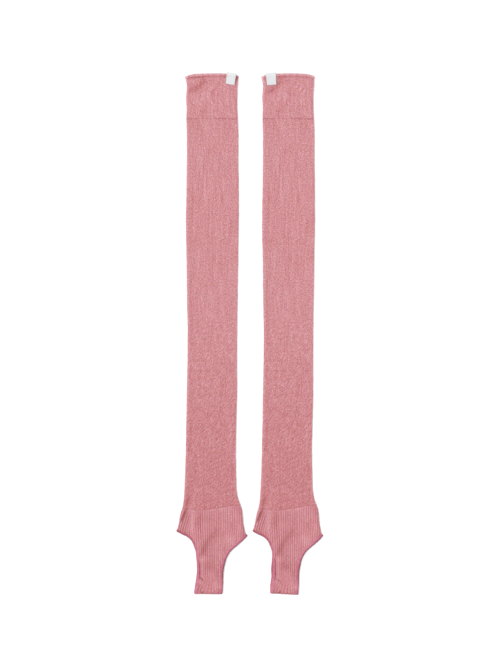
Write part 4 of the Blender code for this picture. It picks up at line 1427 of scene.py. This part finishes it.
def knit_stitches(graph, cloth, wale, course):
    """Columns of knit stitches, each a V, on cloth measured in metres."""
    place = graph.node("ShaderNodeSeparateXYZ", {0: cloth}).outputs
    wander = graph.less(graph.noise(cloth, 260.0, 1.0), 0.5)
    column = graph.add(graph.maths("DIVIDE", place[0], wale), graph.times(wander, 0.7))
    row = graph.add(graph.maths("DIVIDE", place[1], course), graph.times(wander, 0.5))
    aside = graph.maths("ABSOLUTE", graph.less(graph.maths("FRACT", column), 0.5))
    across = graph.times(graph.less(aside, 0.25), 4.0)
    strand = graph.less(1.0, graph.times(across, across))
    slanted = graph.add(row, graph.times(aside, -1.3))
    along = graph.less(graph.times(graph.maths("FRACT", slanted), 2.0), 1.0)
    arch = graph.add(graph.times(graph.less(1.0, graph.times(along, along)), 0.55), 0.45)
    height = graph.times(graph.maths("SQRT", graph.maths("MAXIMUM", strand, 0.0)), arch)
    corner = {0: graph.maths("FLOOR", column), 1: graph.maths("FLOOR", slanted)}
    cell = graph.node("ShaderNodeCombineXYZ", corner).outputs[0]
    tone = graph.node("ShaderNodeTexWhiteNoise", {"Vector": cell}, noise_dimensions="2D")
    return {"Height": height, "Tone": tone.outputs["Value"]}


def heathered_yarn(graph, cloth, grain, streaks, lines, slants, patches):
    """Uneven yarn: a fine grain, broken streaks down the cloth, slanted ones and soft patches."""

    def uneven(vector, scale, gain, detail=2.0):
        return graph.times(graph.less(graph.noise(vector, scale, detail, 0.6), 0.5), gain)

    fine = uneven(graph.stretch(cloth, 1.15, 0.75), 520.0, grain)
    broken = graph.remap(graph.noise(graph.stretch(cloth, 1.0, 0.4), 60.0), 0.35, 0.6)
    straight = graph.times(uneven(graph.stretch(cloth, 1.0, 0.06), 300.0, streaks), broken)
    stray = uneven(graph.stretch(cloth, 1.0, 0.8), 60.0, WANDER, 1.0)
    bent = graph.shift(cloth, graph.node("ShaderNodeCombineXYZ", {0: stray}).outputs[0])
    wavy = uneven(graph.stretch(bent, 1.0, 0.12), 360.0, lines, 1.0)
    turned = graph.stretch(cloth, 1.0, 1.0, SLANT)
    slanted = uneven(graph.stretch(turned, 1.0, 0.28), 400.0, slants)
    soft = uneven(graph.stretch(cloth, 1.0, 0.5), 45.0, patches)
    tone = graph.add(graph.add(fine, straight), graph.add(slanted, soft))
    return {
        "Tone": graph.add(graph.add(tone, wavy), 1.0),
        "Hue": uneven(graph.shift(cloth, (0.3, 0.7, 0.0)), 300.0, 0.45),
        "Warmth": uneven(graph.shift(cloth, (0.8, 0.2, 0.0)), 300.0, 0.35),
    }


def yarn_colour(graph, yarn, shade, tone, hue, warmth, shading, deepening):
    """A yarn's colour at one tone. As wool darkens, green and blue fall faster than red."""
    parts = graph.node("ShaderNodeSeparateColor", {0: yarn}).outputs
    deep = graph.maths("POWER", graph.maths("MAXIMUM", tone, 0.05), deepening)
    deep = graph.times(deep, graph.maths("POWER", graph.maths("MAXIMUM", shade, 0.05), shading))
    red = graph.times(graph.times(tone, graph.add(1.0, warmth)), shade)
    green = graph.times(deep, graph.less(1.0, hue))
    blue = graph.times(deep, graph.add(1.0, hue))
    mixed = {k: graph.times(parts[k], share) for k, share in enumerate((red, green, blue))}
    return {"Colour": graph.node("ShaderNodeCombineColor", mixed).outputs[0]}


def stitch_group():
    return shared_group("Knit stitches", ("Cloth", "Wale", "Course"), ("Height", "Tone"), knit_stitches)


def heather_group():
    inputs = ("Cloth", "Grain", "Streaks", "Lines", "Slants", "Patches")
    return shared_group("Heathered yarn", inputs, ("Tone", "Hue", "Warmth"), heathered_yarn)


def yarn_group():
    inputs = ("Yarn", "Shade", "Tone", "Hue", "Warmth", "Shading", "Deepening")
    return shared_group("Yarn colour", inputs, ("Colour",), yarn_colour)


def new_material(name, roughness, specular=0.12, sheen=0.0):
    material = bpy.data.materials.new(name)
    material.use_nodes = True
    shader = material.node_tree.nodes["Principled BSDF"]
    shader.inputs["Roughness"].default_value = roughness
    shader.inputs["Specular IOR Level"].default_value = specular
    shader.inputs["Sheen Weight"].default_value = sheen
    shader.inputs["Sheen Roughness"].default_value = 0.5
    return material, Graph(material.node_tree), shader


def cloth_place(graph):
    return graph.node("ShaderNodeUVMap", uv_map="cloth").outputs["UV"]


def paint(graph, shader, yarn, tones, heather, height, distance, shading, deepening=DEEPENING):
    """Gives the shader its yarn's colour, with the piece's tone, which holds painted light and shade,
    and a bump from a height.
    """
    hue, warmth = (heather["Hue"], heather["Warmth"]) if heather else (0.0, 0.0)
    shade = graph.node("ShaderNodeAttribute", attribute_name="tone").outputs["Fac"]
    tone = tones[0]
    for other in tones[1:]:
        tone = graph.times(tone, other)
    coloured = graph.call(
        yarn_group(),
        yarn=(*yarn, 1.0),
        shade=shade,
        tone=tone,
        hue=hue,
        warmth=warmth,
        shading=shading,
        deepening=deepening,
    )
    graph.feed(shader.inputs["Base Color"], coloured["Colour"])
    relief = graph.node("ShaderNodeBump", {"Distance": distance, "Height": height})
    graph.feed(shader.inputs["Normal"], relief.outputs[0])


def paint_knit(graph, shader, yarn, heather, wale, course, lowest, mottle, waves, shading):
    """Stitches of one size in heathered yarn, on cloth with low waves of a few stitches."""
    cloth = cloth_place(graph)
    stitches = graph.call(stitch_group(), cloth=cloth, wale=wale, course=course)
    yarns = graph.call(heather_group(), cloth=cloth, **heather)
    tones = [
        yarns["Tone"],
        # Painted shade between the stitches' strands, where the cloth lies lowest.
        graph.remap(stitches["Height"], 0.0, 1.0, lowest, 1.06),
        graph.remap(stitches["Tone"], 0.0, 1.0, 1 - mottle, 1 + mottle),
    ]
    crinkle = graph.noise(graph.stretch(cloth, 1.0, 0.45), 190.0, 1.5)
    height = graph.add(stitches["Height"], graph.times(crinkle, waves))
    paint(graph, shader, yarn, tones, yarns, height, STITCH_BUMP, shading)


def knit_material(name, yarn, knit, streaks, lines, patches, waves, slants=0.0):
    """Plain knit, a little heathered, whose straight streaks give way to slanted ones lower down."""
    material, graph, shader = new_material(name, roughness=0.92, sheen=0.12)
    down = graph.node("ShaderNodeSeparateXYZ", {0: cloth_place(graph)}).outputs[1]
    heather = {
        "grain": 0.82,
        "streaks": graph.remap(down, *SLANTS_DOWN, streaks, streaks * STREAKS_LEFT),
        "lines": lines,
        "slants": graph.remap(down, *SLANTS_DOWN, 0.0, slants),
        "patches": patches,
    }
    looks = {"lowest": 0.80, "mottle": 0.05, "waves": waves, "shading": DEEPENING}
    paint_knit(graph, shader, yarn, heather, knit.wale, knit.course, **looks)
    return material


def rib_material(name, yarn, knit):
    """Rib knit, whose ribs are in the cloth's own shape and in its tone, as painted shade in their
    grooves.
    """
    material, graph, shader = new_material(name, roughness=0.92, sheen=0.12)
    heather = {"grain": 0.48, "streaks": 0.40, "lines": 0.0, "slants": 0.0, "patches": 0.20}
    looks = {"lowest": 0.78, "mottle": 0.06, "waves": 0.3, "shading": RIB_SHADING}
    paint_knit(graph, shader, yarn, heather, RIB_PITCH / WALES_A_RIB, knit.course, **looks)
    return material


def edge_material(yarn):
    """Overlock yarn: smooth threads with soft light and dark stretches."""
    material, graph, shader = new_material("overlock yarn", roughness=0.80, sheen=0.15)
    cloth = cloth_place(graph)
    fibres = graph.noise(graph.stretch(cloth, 1.0, 6.0), 900.0, 2.0)
    stretches = graph.noise(cloth, 160.0, 3.0, 0.65)
    tones = [graph.remap(fibres, 0.2, 0.8, 0.88, 1.08), graph.remap(stretches, 0.25, 0.75, 0.84, 1.14)]
    paint(graph, shader, yarn, tones, None, fibres, 0.00015, EDGE_SHADING, EDGE_SHADING)
    return material


def label_material(tape):
    """Plain woven tape, left bare."""
    material, graph, shader = new_material("label tape", roughness=0.65, sheen=0.05)
    cloth = cloth_place(graph)
    inputs = {"Vector": cloth, "Scale": 1500.0}
    weave = graph.node("ShaderNodeTexWave", inputs, wave_type="BANDS", bands_direction="Y")
    weft = weave.outputs["Fac"]
    speck = graph.noise(graph.stretch(cloth, 1.0, 0.3), 1600.0, 2.0)
    tones = [graph.remap(speck, 0.2, 0.8, 0.96, 1.01), graph.remap(weft, 0.0, 1.0, 0.97, 1.0)]
    paint(graph, shader, tape, tones, None, weft, 0.00008, 1.0, 1.0)
    return material


# --- The stage ------------------------------------------------------------------------------------


def add_floor(scene, tint):
    """The pale surface just under the pair."""
    bm = bmesh.new()
    bmesh.ops.create_grid(bm, x_segments=1, y_segments=1, size=FLOOR_SIZE / 2)
    mesh = bpy.data.meshes.new("floor")
    bm.to_mesh(mesh)
    bm.free()
    mesh.transform(Matrix.Translation((0, 0, -FLOOR_DROP)))
    floor = bpy.data.objects.new("floor", mesh)
    scene.collection.objects.link(floor)
    material, _, shader = new_material("pale floor", roughness=0.9, specular=0.0)
    shader.inputs["Base Color"].default_value = (*tint, 1.0)
    mesh.materials.append(material)


def add_sky(scene, strength):
    """Even light from all round."""
    world = bpy.data.worlds.new("soft sky")
    world.use_nodes = True
    sky = world.node_tree.nodes["Background"]
    sky.inputs["Color"].default_value = (*SKY_COLOUR, 1.0)
    sky.inputs["Strength"].default_value = strength
    scene.world = world


def add_sun(scene, stage):
    """The main light, from one side."""
    sun = bpy.data.lights.new("main light", "SUN")
    sun.energy = stage.sun
    sun.color = SUN_COLOUR
    sun.angle = stage.sun_width
    light = bpy.data.objects.new("main light", sun)
    level = math.cos(stage.sun_elevation)
    east, north = level * math.cos(stage.sun_azimuth), level * math.sin(stage.sun_azimuth)
    towards = Vector((east, north, math.sin(stage.sun_elevation)))
    light.rotation_euler = towards.to_track_quat("Z", "Y").to_euler()
    light.location = towards * 2
    scene.collection.objects.link(light)


def add_camera(scene, height):
    """The camera straight over the pair, which sees a view of one height whatever its own height."""
    lens = bpy.data.cameras.new("camera")
    lens.sensor_fit = "VERTICAL"
    lens.sensor_height = 36.0
    lens.lens = lens.sensor_height * (height - FRAMED_LEVEL) / FRAMED
    lens.clip_end = 100.0
    camera = bpy.data.objects.new("camera", lens)
    camera.location = (*FRAME_SHIFT, height)
    scene.collection.objects.link(camera)
    scene.camera = camera


# --- Operators ------------------------------------------------------------------------------------


class PieceStep:
    """A step that dresses both leg warmers with pieces of one kind."""

    def execute(self, context):
        knit = context.scene.leg_warmer_knit
        material = self.material(knit, context.scene.leg_warmer_colours)
        for leg in PAIR:
            self.dress(leg, knit, material)
        return {"FINISHED"}


class LEGWARMERS_OT_band(PieceStep, bpy.types.Operator):
    """Add the doubled band of each leg warmer, with its rolled rim"""

    bl_idname = "leg_warmers.add_band"
    bl_label = "Bands"

    def material(self, knit, colours):
        looks = {"streaks": 0.30, "lines": 0.34, "patches": 0.08, "waves": 0.6}
        return knit_material("band knit", colours.welt, knit, **looks)

    def dress(self, leg, knit, material):
        piece = add_piece(leg, "band_cloth", make_welt(leg, knit), material, "welt")


class LEGWARMERS_OT_leg(PieceStep, bpy.types.Operator):
    """Add the plain knitted leg of each leg warmer"""

    bl_idname = "leg_warmers.add_leg"
    bl_label = "Legs"

    def material(self, knit, colours):
        looks = {"streaks": 0.45, "lines": 0.18, "patches": 0.04, "waves": 0.4, "slants": 0.50}
        return knit_material("leg knit", colours.leg, knit, **looks)

    def dress(self, leg, knit, material):
        piece = add_piece(leg, "leg_cloth", make_leg(leg, knit), material, "leg")
        give_thickness(piece, VISIBLE_WALL)


class LEGWARMERS_OT_ankle(PieceStep, bpy.types.Operator):
    """Add the ribbed ankle and strap of each leg warmer"""

    bl_idname = "leg_warmers.add_ankle"
    bl_label = "Ankles"

    def material(self, knit, colours):
        return rib_material("ankle rib", colours.ankle, knit)

    def dress(self, leg, knit, material):
        piece = add_piece(leg, "ankle_cloth", make_ankle(leg, knit), material, "ankle")
        give_thickness(piece, VISIBLE_WALL)


class LEGWARMERS_OT_edges(PieceStep, bpy.types.Operator):
    """Add the overlocked edges of the heel and toe openings"""

    bl_idname = "leg_warmers.add_edges"
    bl_label = "Overlocked edges"

    def material(self, knit, colours):
        return edge_material(colours.edge)

    def dress(self, leg, knit, material):
        heel = make_edge(leg, knit, HEEL_EDGE, leg.strap, 1, HEEL_TONES_AND_SHADES)
        add_piece(leg, "heel_edge", heel, material, "heel_binding")
        toe = make_edge(leg, knit, leg.toe, None, -1, TOE_TONES_AND_SHADES)
        add_piece(leg, "toe_edge", toe, material, "toe_binding")


class LEGWARMERS_OT_labels(PieceStep, bpy.types.Operator):
    """Add the bare woven label folded over each rim"""

    bl_idname = "leg_warmers.add_labels"
    bl_label = "Labels"

    def material(self, knit, colours):
        return label_material(colours.label)

    def dress(self, leg, knit, material):
        piece = add_piece(leg, "label_tape", make_label(leg, knit), material, "label")
        give_thickness(piece, knit.tape_thickness)


class LEGWARMERS_OT_stage(bpy.types.Operator):
    """Set the pale floor, the light and the camera"""

    bl_idname = "leg_warmers.set_stage"
    bl_label = "Stage"

    def execute(self, context):
        scene, stage = context.scene, context.scene.leg_warmer_stage
        add_floor(scene, scene.leg_warmer_colours.floor)
        add_sky(scene, stage.sky)
        add_sun(scene, stage)
        add_camera(scene, stage.camera_height)
        scene.view_settings.view_transform = "Standard"
        return {"FINISHED"}


STEPS = (
    LEGWARMERS_OT_leg,
    LEGWARMERS_OT_band,
    LEGWARMERS_OT_ankle,
    LEGWARMERS_OT_edges,
    LEGWARMERS_OT_labels,
    LEGWARMERS_OT_stage,
)


class LEGWARMERS_PT_panel(bpy.types.Panel):
    """Settings and steps of the leg warmers"""

    bl_idname = "LEGWARMERS_PT_panel"
    bl_label = "Leg Warmers"
    bl_space_type = "VIEW_3D"
    bl_region_type = "UI"
    bl_category = "Leg Warmers"

    def draw(self, context):
        for group in ("leg_warmer_knit", "leg_warmer_colours", "leg_warmer_stage"):
            settings = getattr(context.scene, group)
            box = self.layout.box()
            for name in settings.__annotations__:
                box.prop(settings, name)
        for step in STEPS:
            self.layout.operator(step.bl_idname)


CLASSES = (KnitSettings, ColourSettings, StageSettings, *STEPS, LEGWARMERS_PT_panel)


def register():
    for kind in CLASSES:
        bpy.utils.register_class(kind)
    bpy.types.Scene.leg_warmer_knit = PointerProperty(type=KnitSettings)
    bpy.types.Scene.leg_warmer_colours = PointerProperty(type=ColourSettings)
    bpy.types.Scene.leg_warmer_stage = PointerProperty(type=StageSettings)


def unregister():
    del bpy.types.Scene.leg_warmer_stage
    del bpy.types.Scene.leg_warmer_colours
    del bpy.types.Scene.leg_warmer_knit
    for kind in reversed(CLASSES):
        bpy.utils.unregister_class(kind)


def main():
    register()
    bpy.ops.leg_warmers.add_leg()
    bpy.ops.leg_warmers.add_band()
    bpy.ops.leg_warmers.add_ankle()
    bpy.ops.leg_warmers.add_edges()
    bpy.ops.leg_warmers.add_labels()
    bpy.ops.leg_warmers.set_stage()


if __name__ == "__main__":
    main()
